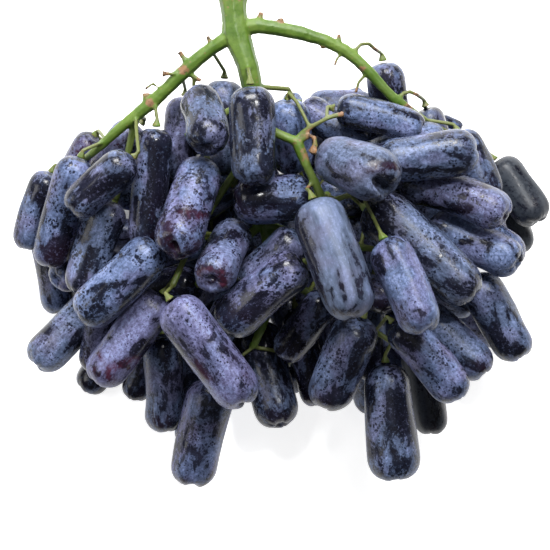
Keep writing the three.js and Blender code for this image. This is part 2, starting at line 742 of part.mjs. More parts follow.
const innerChains = Object.values(INNER_BRANCHES).map(
  (points) => makeBranch(points, BRANCH_STEP, INNER_GIVE),
);
settle(berries, [...mainChains, ...twigs], innerChains, [], STAGES.branches);

innerChains.flat().forEach((body) => {
  body.give = 0;
});
const rootChains = [...mainChains, ...twigs, ...innerChains];
const stalks = stalkedBerries.map((berry) => makeStalk(berry, chooseRoot(berry, rootChains)));
settle(berries, rootChains, [], stalks, STAGES.stalks);

const skin = new THREE.MeshStandardMaterial({ color: SKIN_COLOUR, roughness: 0.45 });
const green = new THREE.MeshStandardMaterial({ color: STEM_COLOUR, roughness: 0.6 });

function addPart(group, name, solid, material) {
  const mesh = new THREE.Mesh(geometryFrom(solid), material);
  mesh.name = name;
  group.add(mesh);
}

const bunch = new THREE.Group();
addPart(bunch, 'stem', stemSolid(mainChains, [...twigs, ...innerChains], stalks), green);
for (const { name } of stalkedBerries) {
  const grown = berries.filter((berry) => berry.name === name);
  const solids = grown.map((berry) => solidFrom(berryGeometry(berry)));
  addPart(bunch, name, overTable(solids.reduce((body, solid) => body.add(solid))), skin);
}

// The origin is under the middle of the bunch, on the table.
const bounds = new THREE.Box3().setFromObject(bunch);
const centre = bounds.getCenter(new THREE.Vector3());
bunch.position.set(-centre.x, -centre.y, 0);

export default bunch;
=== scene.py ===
import math

import bpy
import numpy as np
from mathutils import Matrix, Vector, noise
from mathutils.bvhtree import BVHTree


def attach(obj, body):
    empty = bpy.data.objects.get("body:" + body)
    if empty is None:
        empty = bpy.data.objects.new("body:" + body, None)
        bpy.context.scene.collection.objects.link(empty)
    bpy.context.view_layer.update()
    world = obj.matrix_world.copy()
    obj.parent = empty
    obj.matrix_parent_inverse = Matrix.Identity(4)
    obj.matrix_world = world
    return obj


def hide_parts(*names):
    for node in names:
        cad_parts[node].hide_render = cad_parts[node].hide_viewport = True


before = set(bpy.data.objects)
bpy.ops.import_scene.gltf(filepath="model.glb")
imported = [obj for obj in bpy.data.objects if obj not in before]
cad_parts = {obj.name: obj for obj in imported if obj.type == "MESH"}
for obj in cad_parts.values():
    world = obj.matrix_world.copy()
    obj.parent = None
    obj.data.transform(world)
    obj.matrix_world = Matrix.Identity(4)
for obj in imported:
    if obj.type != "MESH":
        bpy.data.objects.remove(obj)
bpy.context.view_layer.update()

MM = 0.001
rng = np.random.default_rng(5)

# Camera

# The plan of the bunch is drawn as an eye this high sees it, at the scale of one level.
EYE_HEIGHT = 520 * MM
PLAN_LEVEL = 45 * MM
PHOTO_PIXELS = 550
PLAN_SCALE = 0.36 * MM
SENSOR = 36.0

# The cut top of the stalk is at this place on the plan.
STALK_TOP = (-15 * MM, 100 * MM, 52 * MM)


def view_scale(height):
    return (EYE_HEIGHT - height) / (EYE_HEIGHT - PLAN_LEVEL)


def mesh_places(mesh):
    places = np.empty(len(mesh.vertices) * 3)
    mesh.vertices.foreach_get("co", places)
    return places.reshape(-1, 3)


stem_places = mesh_places(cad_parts["stem"].data)


def find_eye():
    top = stem_places[stem_places[:, 1] > stem_places[:, 1].max() - 0.5 * MM]
    scale = view_scale(STALK_TOP[2])
    middle = (top[:, 0].min() + top[:, 0].max()) / 2
    return middle - STALK_TOP[0] * scale, top[:, 1].max() - STALK_TOP[1] * scale


EYE = find_eye()


def place_from_plan(x, y, height):
    scale = view_scale(height)
    return np.array([EYE[0] + x * scale, EYE[1] + y * scale, height])


def add_camera():
    data = bpy.data.cameras.new("camera")
    focal_pixels = (EYE_HEIGHT - PLAN_LEVEL) / PLAN_SCALE
    data.lens = focal_pixels / PHOTO_PIXELS * SENSOR
    data.sensor_width = SENSOR
    data.clip_start = 0.01
    camera = bpy.data.objects.new("camera", data)
    camera.location = (EYE[0], EYE[1], EYE_HEIGHT)
    bpy.context.scene.collection.objects.link(camera)
    bpy.context.scene.camera = camera


add_camera()

# Reading the berries of the frame

# A blunt end follows this power of the rounded-square curve.
END_ROUNDNESS = 2.4
STALK_PIT = 0.9 * MM
TIP_PIT = 1.3 * MM
BODY_STATIONS = (0.36, 0.66)
FIT_ROUNDS = 5
RING_REACH = 2.6 * MM
OFF_TABLE = 0.03 * MM
END_REACH = 3 * MM
POLE_ASIDE = 1.4 * MM
MOST_WAVE = 0.035


# A way that no berry and no stalk runs along.
ASKEW = (0.31, 0.52, 0.79)


def unit(vector):
    return vector / np.linalg.norm(vector)


def side_of(way):
    return unit(np.cross(way, ASKEW))


def fit_circle(points, axis):
    """Centre and mean radius of the points of one ring, found as the best circle."""
    side = side_of(axis)
    over = np.cross(axis, side)
    middle = points.mean(0)
    flat = np.stack([(points - middle) @ side, (points - middle) @ over], 1)
    system = np.column_stack([2 * flat, np.ones(len(flat))])
    answer = np.linalg.lstsq(system, (flat**2).sum(1), rcond=None)[0]
    centre = middle + side * answer[0] + over * answer[1]
    return centre, math.sqrt(answer[2] + answer[0] ** 2 + answer[1] ** 2)


class Bow:
    """The curved centre line of a berry, from its stalk end to its tip."""

    def __init__(self, start, bend, end):
        self.points = (start, bend, end)

    def at(self, share):
        share = np.asarray(share)[..., None]
        start, bend, end = self.points
        return (1 - share) ** 2 * start + 2 * share * (1 - share) * bend + share**2 * end

    def along(self, share):
        share = np.asarray(share)[..., None]
        start, bend, end = self.points
        way = 2 * (1 - share) * (bend - start) + 2 * share * (end - bend)
        return way / np.linalg.norm(way, axis=-1, keepdims=True)

    def length(self):
        places = self.at(np.linspace(0, 1, 33))
        return np.linalg.norm(np.diff(places, axis=0), axis=1).sum()

    def across(self, share, side):
        along = self.along(share)
        across = side - (along @ side)[..., None] * along
        across /= np.linalg.norm(across, axis=-1, keepdims=True)
        return across, np.cross(along, across)


def nearest_to_line(points, origin, way):
    offsets = points - origin
    apart = np.linalg.norm(offsets - np.outer(offsets @ way, way), axis=1)
    return points[apart.argmin()], apart.min()


def ring_points(places, bow, share, reach):
    """The vertices of the frame's berry that lie near one station of its bow."""
    spot = bow.at(share)
    way = bow.along(share)
    return places[abs((places - spot) @ way) < reach]


CREASE = 0.64
FEWEST_VERTICES = 25


def welded(node):
    """The places and the triangles of a node, with its doubled vertices made one."""
    mesh = node.data
    corners = np.empty(len(mesh.loops), dtype=int)
    mesh.loops.foreach_get("vertex_index", corners)
    places, index = np.unique(np.round(mesh_places(mesh), 7), axis=0, return_inverse=True)
    return places, index.ravel()[corners].reshape(-1, 3)


def parted(node):
    """The vertices of each berry of a node, told apart at the creases between them."""
    places, faces = welded(node)
    corner = places[faces]
    normals = np.cross(corner[:, 1] - corner[:, 0], corner[:, 2] - corner[:, 0])
    normals /= np.linalg.norm(normals, axis=1, keepdims=True) + 1e-15
    centres = corner.mean(1)
    sharing = {}
    for face, (a, b, c) in enumerate(faces.tolist()):
        for pair in ((a, b), (b, c), (c, a)):
            sharing.setdefault(tuple(sorted(pair)), []).append(face)
    group = list(range(len(faces)))

    def leader(face):
        while group[face] != face:
            face = group[face]
        return face

    seam = set()
    for pair, (one, other) in sharing.items():
        hollow = (centres[other] - centres[one]) @ normals[one] > 0
        if hollow and normals[one] @ normals[other] < CREASE:
            seam.update(pair)
        else:
            group[leader(one)] = leader(other)
    leaders = np.array([leader(face) for face in range(len(faces))])
    found = []
    for which in np.unique(leaders):
        kept = sorted(set(faces[leaders == which].ravel().tolist()) - seam)
        if len(kept) > FEWEST_VERTICES:
            found.append(places[kept])
    return found


def read_berry(places):
    """The bow and the cross-section of a berry of the frame, from its vertices."""
    middle = (places.min(0) + places.max(0)) / 2
    axis = np.linalg.svd(places - places.mean(0))[2][0]
    shares = (places - middle) @ axis
    ends = [middle + axis * shares.min(), middle + axis * shares.max()]
    gaps = [np.linalg.norm(stem_places - end, axis=1).min() for end in ends]
    if gaps[0] > gaps[1]:
        ends.reverse()
    above = places[places[:, 2] > OFF_TABLE]
    bow = Bow(ends[0], (ends[0] + ends[1]) / 2, ends[1])
    for _ in range(FIT_ROUNDS):
        rings = [ring_points(above, bow, share, RING_REACH) for share in BODY_STATIONS]
        fits = [
            fit_circle(ring, bow.along(share))
            for ring, share in zip(rings, BODY_STATIONS)
        ]
        poles = []
        for end, pit in ((0, STALK_PIT), (1, TIP_PIT)):
            way = bow.along(end) * (1 if end else -1)
            near = above[(above - bow.at(end)) @ way > -END_REACH]
            pole, apart = nearest_to_line(near, bow.at(end), way)
            poles.append(pole + way * pit if apart < POLE_ASIDE else bow.at(end))
        bends = []
        for (centre, _), share in zip(fits, BODY_STATIONS):
            rest = centre - (1 - share) ** 2 * poles[0] - share**2 * poles[1]
            bends.append(rest / (2 * share * (1 - share)))
        bow = Bow(poles[0], (bends[0] + bends[1]) / 2, poles[1])
    first, last = BODY_STATIONS
    slope = (fits[1][1] - fits[0][1]) / (last - first)
    radii = (fits[0][1] - slope * first, fits[1][1] + slope * (1 - last))
    side = side_of(bow.along(0.5))
    return {"bow": bow, "radii": radii, "side": side, "waves": read_waves(rings, fits, bow, side)}


def read_waves(rings, fits, bow, side):
    """How the cross-section departs from round: its waves of two and three."""
    rows = []
    reaches = []
    for ring, (centre, radius), share in zip(rings, fits, BODY_STATIONS):
        across, over = bow.across(share, side)
        angles = np.arctan2((ring - centre) @ over, (ring - centre) @ across)
        reach = np.hypot((ring - centre) @ across, (ring - centre) @ over) / radius
        rows.append(np.stack([f(n * angles) for n in (2, 3) for f in (np.cos, np.sin)], 1))
        reaches.append(reach - 1)
    waves = np.linalg.lstsq(np.concatenate(rows), np.concatenate(reaches), rcond=None)[0]
    return np.clip(waves, -MOST_WAVE, MOST_WAVE)


# Forms of the berries

SIDES = 60
END_ANGLES = (1.2, 3, 5, 7.5, 10.5, 14, 18, 23, 29, 36, 44, 53, 63, 73, 82, 90)
BODY_RINGS = 26
STALK_PIT_WIDTH = 1.9 * MM
COLLAR = 3.6 * MM
CREASE_DEPTH = 0.35 * MM
WIDE_SWELL = 0.015
FINE_SWELL = 0.006
MOST_SWELL = 0.02

# The tip of a grape: pit depth and width in mm, lobes and creases, and how far the pit leans up or aside.
TIPS = {
    "dimple": {"depth": 1.5, "width": (2.0, 2.0), "lobes": 3, "swell": 0.25, "creases": 5},
    "lobed": {"depth": 3.4, "width": (1.7, 1.5), "lobes": 3, "swell": 0.9, "creases": 3, "lean": 2.2},
    "cleft": {"depth": 2.4, "width": (3.6, 1.4), "lobes": 2, "swell": 0.7, "creases": 2},
    "flat": {"depth": 1.5, "width": (3.9, 2.4), "lobes": 4, "swell": 0.3, "creases": 6, "lean": 1.2},
    "wedge": {"depth": 6.0, "width": (5.0, 2.0), "lobes": 2, "swell": 0.5, "creases": 3, "lean": 0.4,
              "aside": 2.6},
    "pitted": {"depth": 3.2, "width": (2.6, 1.9), "lobes": 3, "swell": 0.4, "creases": 5, "lean": 0.8},
    "nub": {"depth": 2.2, "width": (2.5, 2.5), "lobes": 5, "swell": 0.2, "creases": 7, "nub": 0.85},
}

def traits(bloom, dots=None, **others):
    given = {"bloom": bloom, "dots": dots, **others}
    return {key: value for key, value in given.items() if value is not None}


# What sets single berries apart: bloom and dark dots, then tip, its turn, lilac, grey and wine; grey
# above 1 is painted shade that darkens the whole bloom.
LOOKS = {
    "left_01": traits(0.5, 0.9),
    "left_02": traits(0.58, 1),
    "left_03": traits(0.38, 0.9, lilac=0.1),
    "left_04": traits(0.5, 1.1),
    "left_05": traits(0.42, 1),
    "left_06": traits(0.6, wine=0.3, lilac=1),
    "left_07": traits(0.45, wine=0.5, lilac=0.3),
    "left_08": traits(0.38, 0.5),
    "left_09": traits(0.6, 1.1, tip="lobed", turn=0.3, wine=0.35),
    "left_10": traits(0.64, 0.9, tip="nub", wine=0.2, lilac=0.3),
    "left_11": traits(0.74, 0.9, grey=0.4),
    "left_12": traits(0.6, 1.1, wine=0),
    "left_13": traits(0.72, 0.5, wine=0.2, lilac=0.9),
    "left_14": traits(0.25, 0.5),
    "left_15": traits(0.3, 0.8),
    "left_16": traits(0.48, 0.7),
    "left_17": traits(0.76, 0.7, tip="cleft", wine=0.3, lilac=0.6),
    "left_18": traits(0.58, 0.8, tip="flat"),
    "middle_01": traits(0.4, 1.2),
    "middle_02": traits(0.58, 0.9),
    "middle_03": traits(0.5, 1.2),
    "middle_04": traits(0.92, 0.15, wine=0.15, lilac=-0.1, grey=0.6),
    "middle_05": traits(0.3, 1),
    "middle_06": traits(0.25, 0.8),
    "middle_07": traits(0.38, 1),
    "middle_08": traits(0.52, 0.8),
    "middle_09": traits(0.3, 0.8),
    "middle_10": traits(0.74, 0.45, tip="wedge", turn=-0.05, wine=0, lilac=0.1, grey=0.55),
    "middle_11": traits(0.55, 0.7),
    "middle_12": traits(0.66, 0.6, lilac=0.3),
    "right_01": traits(0.3, 0.4, wine=0.3),
    "right_02": traits(0.52, 1.1),
    "right_03": traits(0.4, 0.2, grey=0.5),
    "right_04": traits(0.62, 1, lilac=-0.3),
    "right_05": traits(0.45, 0.7, grey=0.3),
    # Grey above 1 on right_06, right_07 and right_16 darkens their bloom: painted shade on berries that
    # lie low.
    "right_06": traits(0.7, 0.4, grey=1.7),
    "right_07": traits(0.7, 0.5, grey=1.6),
    "right_08": traits(0.6, 1.1, lilac=0.4),
    "right_09": traits(0.53, 1.1, grey=0.45),
    "right_10": traits(0.6, 0.6),
    "right_11": traits(0.72, 0.5, tip="pitted", lilac=-0.2),
    "right_12": traits(0.58, 0.6),
    "right_13": traits(0.64, 0.6),
    "right_14": traits(0.6, 0.8),
    "right_15": traits(0.56, 0.9, tip="flat", turn=1.57, grey=0.3),
    "right_16": traits(0.6, 0.4, grey=1.7),
}
TRAITS = ("wine", "bloom", "dots", "lilac", "grey")

# Strokes that thin the bloom, or lay it on below 0; some are painted shade, shadows, highlights and pale
# rims: both ends on the plan, half width in mm, amount.
BLOOM_AND_LIGHT_STROKES = {
    "left_01": [
        (-86, 31, -83, 24, 3.2, 1), (-80, 30, -81, 20, 2.4, 0.8), (-90, 19, -89, 12, 4, -0.5),
        (-78, 36, -77, 33, 2, -0.8),
    ],
    "left_02": [
        (-73, 41, -74, 36, 2.4, -0.5), (-80, 20, -83, 12, 2.2, -0.8), (-79, 9, -78, 4, 3.6, 0.6),
        (-75, 24, -75, 8, 1.8, 1),
    ],
    "left_03": [
        (-70, 36, -62, 42.5, 1.5, 0.8), (-67, 30, -56, 34, 2.6, 1), (-67, 37, -63, 39, 1.5, -0.6),
        (-59, 38, -54, 40, 2.4, -0.6), (-71, 27, -69, 23, 2.6, -0.4),
    ],
    "left_04": [
        (-66, 22, -68, 14, 1.6, 1), (-70, 10, -73, 0, 1.6, -0.9), (-66, 9, -69, 0, 2, 0.9),
        (-60, 19, -62, 12, 3, -0.3), (-56, 15, -58, 9, 2, 0.7),
    ],
    "left_05": [
        (-47, 43, -49, 30, 1.7, -1), (-51.5, 27, -53, 13, 1.5, -1), (-43, 45, -43, 28, 3, 0.9),
        (-45, 27, -45, 14, 2.6, 0.9), (-50, 28, -50.5, 20, 0.8, 1),
    ],
    # In left_09 the last stroke is a painted pale rim: a reflection along its left edge.
    "left_09": [
        (-31, 35, -28, 26, 3.4, -0.6), (-34, 23, -26, 22, 1.8, 0.9), (-38, 13, -36, 10, 2, 0.8),
        (-35, 18, -30, 15, 2, -0.7), (-37, 32, -38.3, 20, 0.8, -1),
    ],
    "left_10": [
        (-21, 13, -14, 15, 2.2, 0.9), (-22, 6, -12, 8, 3, -0.5), (-19.5, 1, -18.5, -3, 1.5, 1.2),
        (-27.5, 2, -23, 2.5, 0.9, 0.8), (-26, -4, -23, -5, 2, -0.6),
    ],
    "left_11": [
        (-88, -22, -82, -19, 2, 1), (-64, -20, -70, -25, 1.8, 1), (-74, -16, -84, -28, 4, -0.5),
    ],
    "left_12": [
        (-44, 10, -60, 1, 3, -0.6), (-60, 1, -71, -8, 2.4, -0.4), (-48, -2, -66, -5, 1.3, 0.9),
        (-46, -1, -54, -12, 2, 0.7), (-59, -10, -58.5, -13, 2.2, -0.5), (-63, -8, -66, -14, 2.4, 0.4),
        (-60, -18, -54, -13, 1.5, 0.8),
    ],
    "left_13": [
        (-48, -14, -58, -28, 4.4, -0.9), (-44, -17, -40, -18, 2.2, 1), (-61, -21, -58.5, -24, 1.8, 1),
        (-48, -24, -50, -28, 1.8, 1), (-53, -33, -57, -31.5, 1.4, 1), (-60, -35, -60, -37, 1.4, 0.9),
        (-65, -33, -64, -36, 1.4, 0.8), (-63.5, -28, -62.5, -30, 0.9, 0.8),
    ],
    "left_16": [(-45.5, -28, -43, -40, 2, -0.6), (-40, -25, -38, -36, 2.2, 0.8)],
    # In left_17 the second stroke lays pale bloom along the line of its glint: a painted highlight.
    "left_17": [
        (-33, -12, -28, -20, 3, -0.6), (-26, -18, -18, -36, 1.4, -0.5), (-20, -26, -15, -31, 1.4, 0.8),
        (-24, -24, -22, -22, 1, 0.7), (-29, -32, -26, -36, 1.8, 0.7), (-22, -42, -17, -44, 3, -0.7),
        (-33, -22, -30, -28, 1.2, 0.4), (-12, -37, -11.5, -40, 1, 0.8),
    ],
    # In middle_01 the last stroke darkens its left end: a painted shadow.
    "middle_01": [(2, 30, 9, 31, 2.4, -0.6), (-1, 25, 6, 26, 1.2, 0.9), (-15, 28, -6, 28, 3, 0.7)],
    "middle_03": [
        (6, -1, -1, -4, 2.4, -0.8), (-9, -8, -4, -7, 1.3, 0.7), (-19, -9, -16, -13, 2, 0.6),
        (0, 3, 6, 5, 1.4, 0.6), (4, -7, 9, -6, 1.8, 0.7),
    ],
    # In middle_04 the first stroke is a painted sheen down its middle, and the second and third are
    # painted shade along its left and right sides.
    "middle_04": [
        (19, 22, 27, 0, 3.4, -0.4), (8, 22, 16, -6, 3.2, 0.65), (27, 23, 36, 2, 2, 0.6),
        (22.5, 2, 24, -5, 0.7, 0.9), (24.5, -4, 25.5, -9, 0.9, 0.9), (20.5, -5, 21.5, -9, 0.8, 0.7),
        (31, 0, 31, -2, 1.1, 0.7), (35, -2, 35.5, -5, 1, 1), (22, -13, 29, -13.5, 1.4, 0.6),
    ],
    "middle_05": [(12, -14, 8, -19, 1.8, -0.5), (5, -22, 12, -28, 3, 0.8)],
    "middle_08": [
        (18, -30, 15, -36, 2, -0.7), (27, -24, 23, -28, 2, -0.5), (30, -26, 27, -36, 2, 0.7),
        (16, -45, 24, -45, 2, 0.5), (28.5, -38, 27.5, -41, 1.2, -0.8),
    ],
    "middle_10": [
        (19, 40, 21, 36, 1.3, 0.9), (21, 36, 28, 34.5, 1.1, 0.8), (22, 46, 33, 46, 3, -0.4),
        (33, 38, 43, 39, 1.5, 0.7), (34, 33, 39, 30.5, 1.6, -1), (25, 46, 27, 47, 0.7, 0.7),
        # These two strokes darken the inside of the cleft at the tip: painted shade.
        (37.5, 34.6, 42, 34.4, 1.4, 1.6), (39.6, 33.5, 39.2, 32, 1.2, 1.4),
    ],
    "right_02": [
        (42, 54, 48, 51, 3, -0.6), (24, 53, 38, 51.5, 2, 0.9), (44, 59, 52, 57, 1.6, 0.6),
        (28, 61, 34, 60, 2, -0.3),
    ],
    "right_04": [
        (46, 38, 68, 37.5, 1.1, 0.9), (63, 43.5, 69, 42, 1.2, 0.6), (50, 44, 60, 46, 2.4, -0.3),
    ],
    "right_08": [
        (53, 25, 60, 22, 1.8, 1), (60, 24, 70, 24, 2.5, 1), (72, 27, 80, 26, 3.6, -0.9),
        (50, 31, 66, 31, 2.2, -0.4),
    ],
    # In right_09 the first stroke is a painted shadow cast by middle_10, the third painted shade along
    # its lower side and the last a painted pale rim on its right edge.
    "right_09": [
        (35, 24, 38, 18, 4, 0.9), (46, 24, 58, 10, 3, -0.3), (40, 15, 58, -6, 3, 0.45),
        (52, 7, 57, 4, 1.4, 0.7), (62, -2, 66, -5, 1.6, 0.6), (58, 17, 68, 3, 1.4, -0.4),
    ],
    "right_10": [
        (67.5, 12, 70.5, 12.5, 1.4, 1.2), (75, 12, 77.5, 11, 1.5, 1.2), (76.5, 8, 77, 9, 0.9, 1),
        (66, 15, 72, 17, 2, -0.8), (72, 6, 80, 5, 3, -0.5), (83, 13, 87, 7, 0.8, 0.7),
    ],
    "right_11": [
        (36.5, 6, 38.5, 1, 2, 1.1), (41, 9, 47, 8, 1.2, 0.5), (43, -3, 52, -9, 4, -0.8),
        (50, -13, 54, -13, 1.2, 0.9),
    ],
    "right_12": [
        (81, -12, 83, -21, 1.4, -0.7), (85.5, -17, 87, -22, 0.9, -0.7), (79, -20, 82, -26, 2, 0.9),
        (84, -27, 89, -27, 2.4, 0.8), (74, -8, 77, -12, 2, -0.3),
    ],
    "right_13": [(60, -19, 72, -25, 3.4, -0.6), (67, -31, 75, -33, 2.4, 0.6)],
    # In right_14 the last stroke is a painted pale rim along its edge.
    "right_14": [
        (44, -21, 50, -24, 3, 0.8), (56, -31, 62, -39, 2, -0.8), (55, -22, 66, -37, 0.7, -0.8),
    ],
    # In right_15 the first two strokes paint a lit strip down its top: a painted highlight.
    "right_15": [
        (39, -35, 38, -48, 2, -1), (37.5, -50, 40, -66, 2.3, -0.5), (33.5, -42, 35.5, -48, 1.8, 1.1),
        (43.5, -44, 45, -56, 2.5, 1), (47, -44, 49, -56, 1.6, 0.6), (42, -64, 46, -68, 2, 0.7),
        (34, -58, 34, -64, 1.6, 0.5),
    ],
}

# Strokes of wine red, given in the same way.
WINE_STROKES = {
    "left_07": [(-72, 46, -70, 42, 2, 0.8), (-69, 48, -67, 46, 1.5, 0.6)],
    "left_06": [(-58, 47, -54, 50, 1.6, 0.8)],
    "left_09": [(-38, 12, -35, 9, 2, 0.5), (-33, 22, -26, 21, 2.2, 0.6), (-29, 10, -27, 8, 1.5, 0.4)],
    "left_10": [(-19.5, 1, -18.5, -3, 2, 0.9), (-27.5, 1, -23, 2.5, 1.4, 0.7)],
    "left_13": [
        (-50, -31, -57, -33, 2.2, 1), (-60, -34, -59, -38, 2, 1), (-63.5, -28, -62, -31, 1.2, 0.8),
        (-65, -34, -64, -37, 1.5, 0.4),
    ],
    "left_17": [(-29, -32, -24, -38, 2, 0.5), (-11, -35, -9, -38, 1.4, 0.4)],
    "middle_10": [(34, 38.5, 43, 39.5, 2, 0.35)],
}


def berry_look(name):
    drawn = {
        "tip": "dimple",
        "turn": rng.uniform(0, 2 * math.pi),
        "wine": rng.uniform(0, 0.2),
        "bloom": rng.uniform(0.35, 0.75),
        "dots": rng.uniform(0.6, 1.1),
        "lilac": rng.uniform(-0.4, 0.2),
        "grey": rng.uniform(0, 0.35),
    }
    return {**drawn, **LOOKS.get(name.removeprefix("berry_"), {})}


def profile(radii, length):
    """Stations from stalk end to tip: share of the length, and share of the radius."""
    power = 2 / END_ROUNDNESS
    angles = np.radians(END_ANGLES)
    inward = 1 - np.cos(angles) ** power
    out = np.sin(angles) ** power
    first = inward * radii[0] / length
    last = 1 - inward[::-1] * radii[1] / length
    body = np.linspace(first[-1], last[0], BODY_RINGS + 2)[1:-1]
    shares = np.concatenate([first, body, last])
    outs = np.concatenate([out, np.ones(len(body)), out[::-1]])
    return shares, outs * np.interp(shares, [0, 1], radii)


def unevenness(angles, shares):
    """Soft lengthwise swellings and furrows, as shares of the radius."""
    swell = np.zeros(np.broadcast(angles, shares).shape)
    for waves in range(1, 9):
        for _ in range(2):
            size = WIDE_SWELL if waves < 4 else FINE_SWELL
            phase, drift, start = rng.uniform(0, 2 * math.pi, 3)
            change = np.cos(rng.uniform(0.5, 2.6) * math.pi * shares + start)
            swell += size * rng.normal() * change * np.cos(waves * angles + phase + drift * shares / 2)
    return np.minimum(swell, MOST_SWELL)


def tip_hollow(look, angles, outs):
    """How far the tip sinks in at each place round its middle, in metres."""
    tip = TIPS[look["tip"]]
    wide, narrow = np.array(tip["width"]) * MM
    upward = outs * np.cos(angles) - tip.get("lean", 0) * MM
    aside = outs * np.sin(angles) - tip.get("aside", 0) * MM
    turn = look["turn"]
    long_way = upward * math.cos(turn) + aside * math.sin(turn)
    short_way = aside * math.cos(turn) - upward * math.sin(turn)
    spread = (long_way / wide) ** 2 + (short_way / narrow) ** 2
    depth = tip["depth"] * rng.uniform(0.85, 1.15) * MM
    hollow = depth * np.exp(-(spread**1.25))
    hollow -= depth * tip.get("nub", 0) * np.exp(-spread * 9)
    rise = outs / COLLAR
    collar = rise**2 * np.exp(1 - rise**2)
    hollow += tip["swell"] * MM * collar * np.cos(tip["lobes"] * (angles - turn))
    crease = np.maximum(np.cos(tip["creases"] * (angles - turn) + 0.7), 0) ** 6
    hollow += CREASE_DEPTH * crease * collar
    return hollow


def berry_mesh(name, berry, look):
    bow = berry["bow"]
    length = bow.length()
    shares, outs = profile(berry["radii"], length)
    shares = shares[:, None]
    outs = outs[:, None]
    angles = (np.arange(SIDES) * 2 * math.pi / SIDES)[None, :]
    waves = berry["waves"]
    section = 1 + waves[0] * np.cos(2 * angles) + waves[1] * np.sin(2 * angles)
    section = section + waves[2] * np.cos(3 * angles) + waves[3] * np.sin(3 * angles)
    reach = outs * (section + unevenness(angles, shares))
    tip_across, tip_over = bow.across(1.0, berry["side"])
    towards_eye = math.atan2(tip_over[2], tip_across[2])
    sink = -np.where(shares > 0.5, tip_hollow(look, angles - towards_eye, reach), 0)
    stalk_pit = STALK_PIT * np.exp(-((reach / STALK_PIT_WIDTH) ** 2))
    sink = sink + np.where(shares < 0.5, stalk_pit, 0)
    across, over = bow.across(shares[:, 0], berry["side"])
    along = bow.along(shares[:, 0])
    places = bow.at(shares[:, 0])[:, None, :] + along[:, None, :] * sink[..., None]
    places = places + across[:, None, :] * (reach * np.cos(angles))[..., None]
    places = places + over[:, None, :] * (reach * np.sin(angles))[..., None]
    skin = np.stack(
        [reach * np.cos(angles), reach * np.sin(angles), shares * length + sink], axis=-1
    )
    return build_loft(name, places, skin, shares, look)


def loft_faces(rings, sides):
    """Faces of rings joined in a row, each end closed round a point of its own."""
    faces = []
    for low in range(0, (rings - 1) * sides, sides):
        for side in range(sides):
            turned = (side + 1) % sides
            faces.append((low + side, low + turned, low + sides + turned, low + sides + side))
    last = (rings - 1) * sides
    for side in range(sides):
        turned = (side + 1) % sides
        faces.append((rings * sides, turned, side))
        faces.append((rings * sides + 1, last + side, last + turned))
    return faces


def build_loft(name, places, skin, shares, look):
    rings, sides = places.shape[:2]
    ends = [places[0].mean(0), places[-1].mean(0)]
    skin_ends = [skin[0].mean(0), skin[-1].mean(0)]
    points = np.concatenate([places.reshape(-1, 3), ends])
    points[:, 2] = np.maximum(points[:, 2], 0)
    skin_points = np.concatenate([skin.reshape(-1, 3), skin_ends]) + rng.uniform(0, 1, 3)
    mesh = bpy.data.meshes.new(name)
    mesh.from_pydata(points.tolist(), [], loft_faces(rings, sides))
    mesh.polygons.foreach_set("use_smooth", [True] * len(mesh.polygons))
    add_attribute(mesh, "skin_place", "FLOAT_VECTOR", skin_points)
    along = np.concatenate([np.broadcast_to(shares, (rings, sides)).ravel(), [0, 1]])
    add_attribute(mesh, "along", "FLOAT", along)
    for trait in TRAITS:
        add_attribute(mesh, trait, "FLOAT", np.full(len(points), look[trait]))
    mesh.update()
    facing = np.clip(mesh_normals(mesh)[:, 2] * 4, 0, 1)
    short = name.removeprefix("fine_berry_")
    # The strokes carry bloom worn off and also painted light: shade, shadows, highlights and pale rims.
    add_attribute(mesh, "rubbed", "FLOAT", stroked(points, BLOOM_AND_LIGHT_STROKES.get(short, ()), facing))
    add_attribute(mesh, "flushed", "FLOAT", stroked(points, WINE_STROKES.get(short, ()), facing))
    return mesh


def stroked(points, strokes, facing):
    """How strongly the strokes touch each point, as the eye sees it."""
    seen = seen_plan(points)
    total = np.zeros(len(points))
    for x0, y0, x1, y1, reach, amount in strokes:
        start = np.array([x0, y0]) * MM
        way = np.array([x1, y1]) * MM - start
        share = np.clip((seen - start) @ way / (way @ way), 0, 1)
        apart = np.linalg.norm(seen - start - share[:, None] * way, axis=1) / (reach * MM)
        total += amount * np.exp(-(apart**2.5)) * facing
    return total


def add_attribute(mesh, name, kind, values):
    attribute = mesh.attributes.new(name, kind, "POINT")
    field = "vector" if kind == "FLOAT_VECTOR" else "value"
    attribute.data.foreach_set(field, np.asarray(values, dtype=np.float32).ravel())


def add_piece(name, mesh, material):
    piece = bpy.data.objects.new(name, mesh)
    bpy.context.scene.collection.objects.link(piece)
    mesh.materials.append(material)
    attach(piece, "root")
    return piece


# Hidden berries that fill the heart and the underside of the bunch

BEADS = 7
HIDDEN_COUNT = 30
HIDDEN_TRIES = 1600
HIDDEN_HEIGHTS = (8, 44)
HIDDEN_RADII = (6.3, 7.4)
HIDDEN_HALVES = (9, 12.5)
HIDDEN_TOP = 50 * MM
THIN_REACH = 0.5 * MM
HOLE_SHARE = 0.6
HIDDEN_ROUNDS = 160
HIDDEN_TOUCH = 0.45 * MM
HOPELESS = 2.5 * MM
NEAR_ENOUGH = 45 * MM
HEART = np.array([0.0, 30.0, 40.0]) * MM
COVER_REACH = 8 * MM
COVER_CELL = 2 * MM


def bow_beads(berry):
    """Balls that fill a berry from end to end."""
    bow, radii = berry["bow"], berry["radii"]
    length = bow.length()
    shares = np.linspace(radii[0] / length, 1 - radii[1] / length, BEADS)
    return bow.at(shares), np.interp(shares, [0, 1], radii)


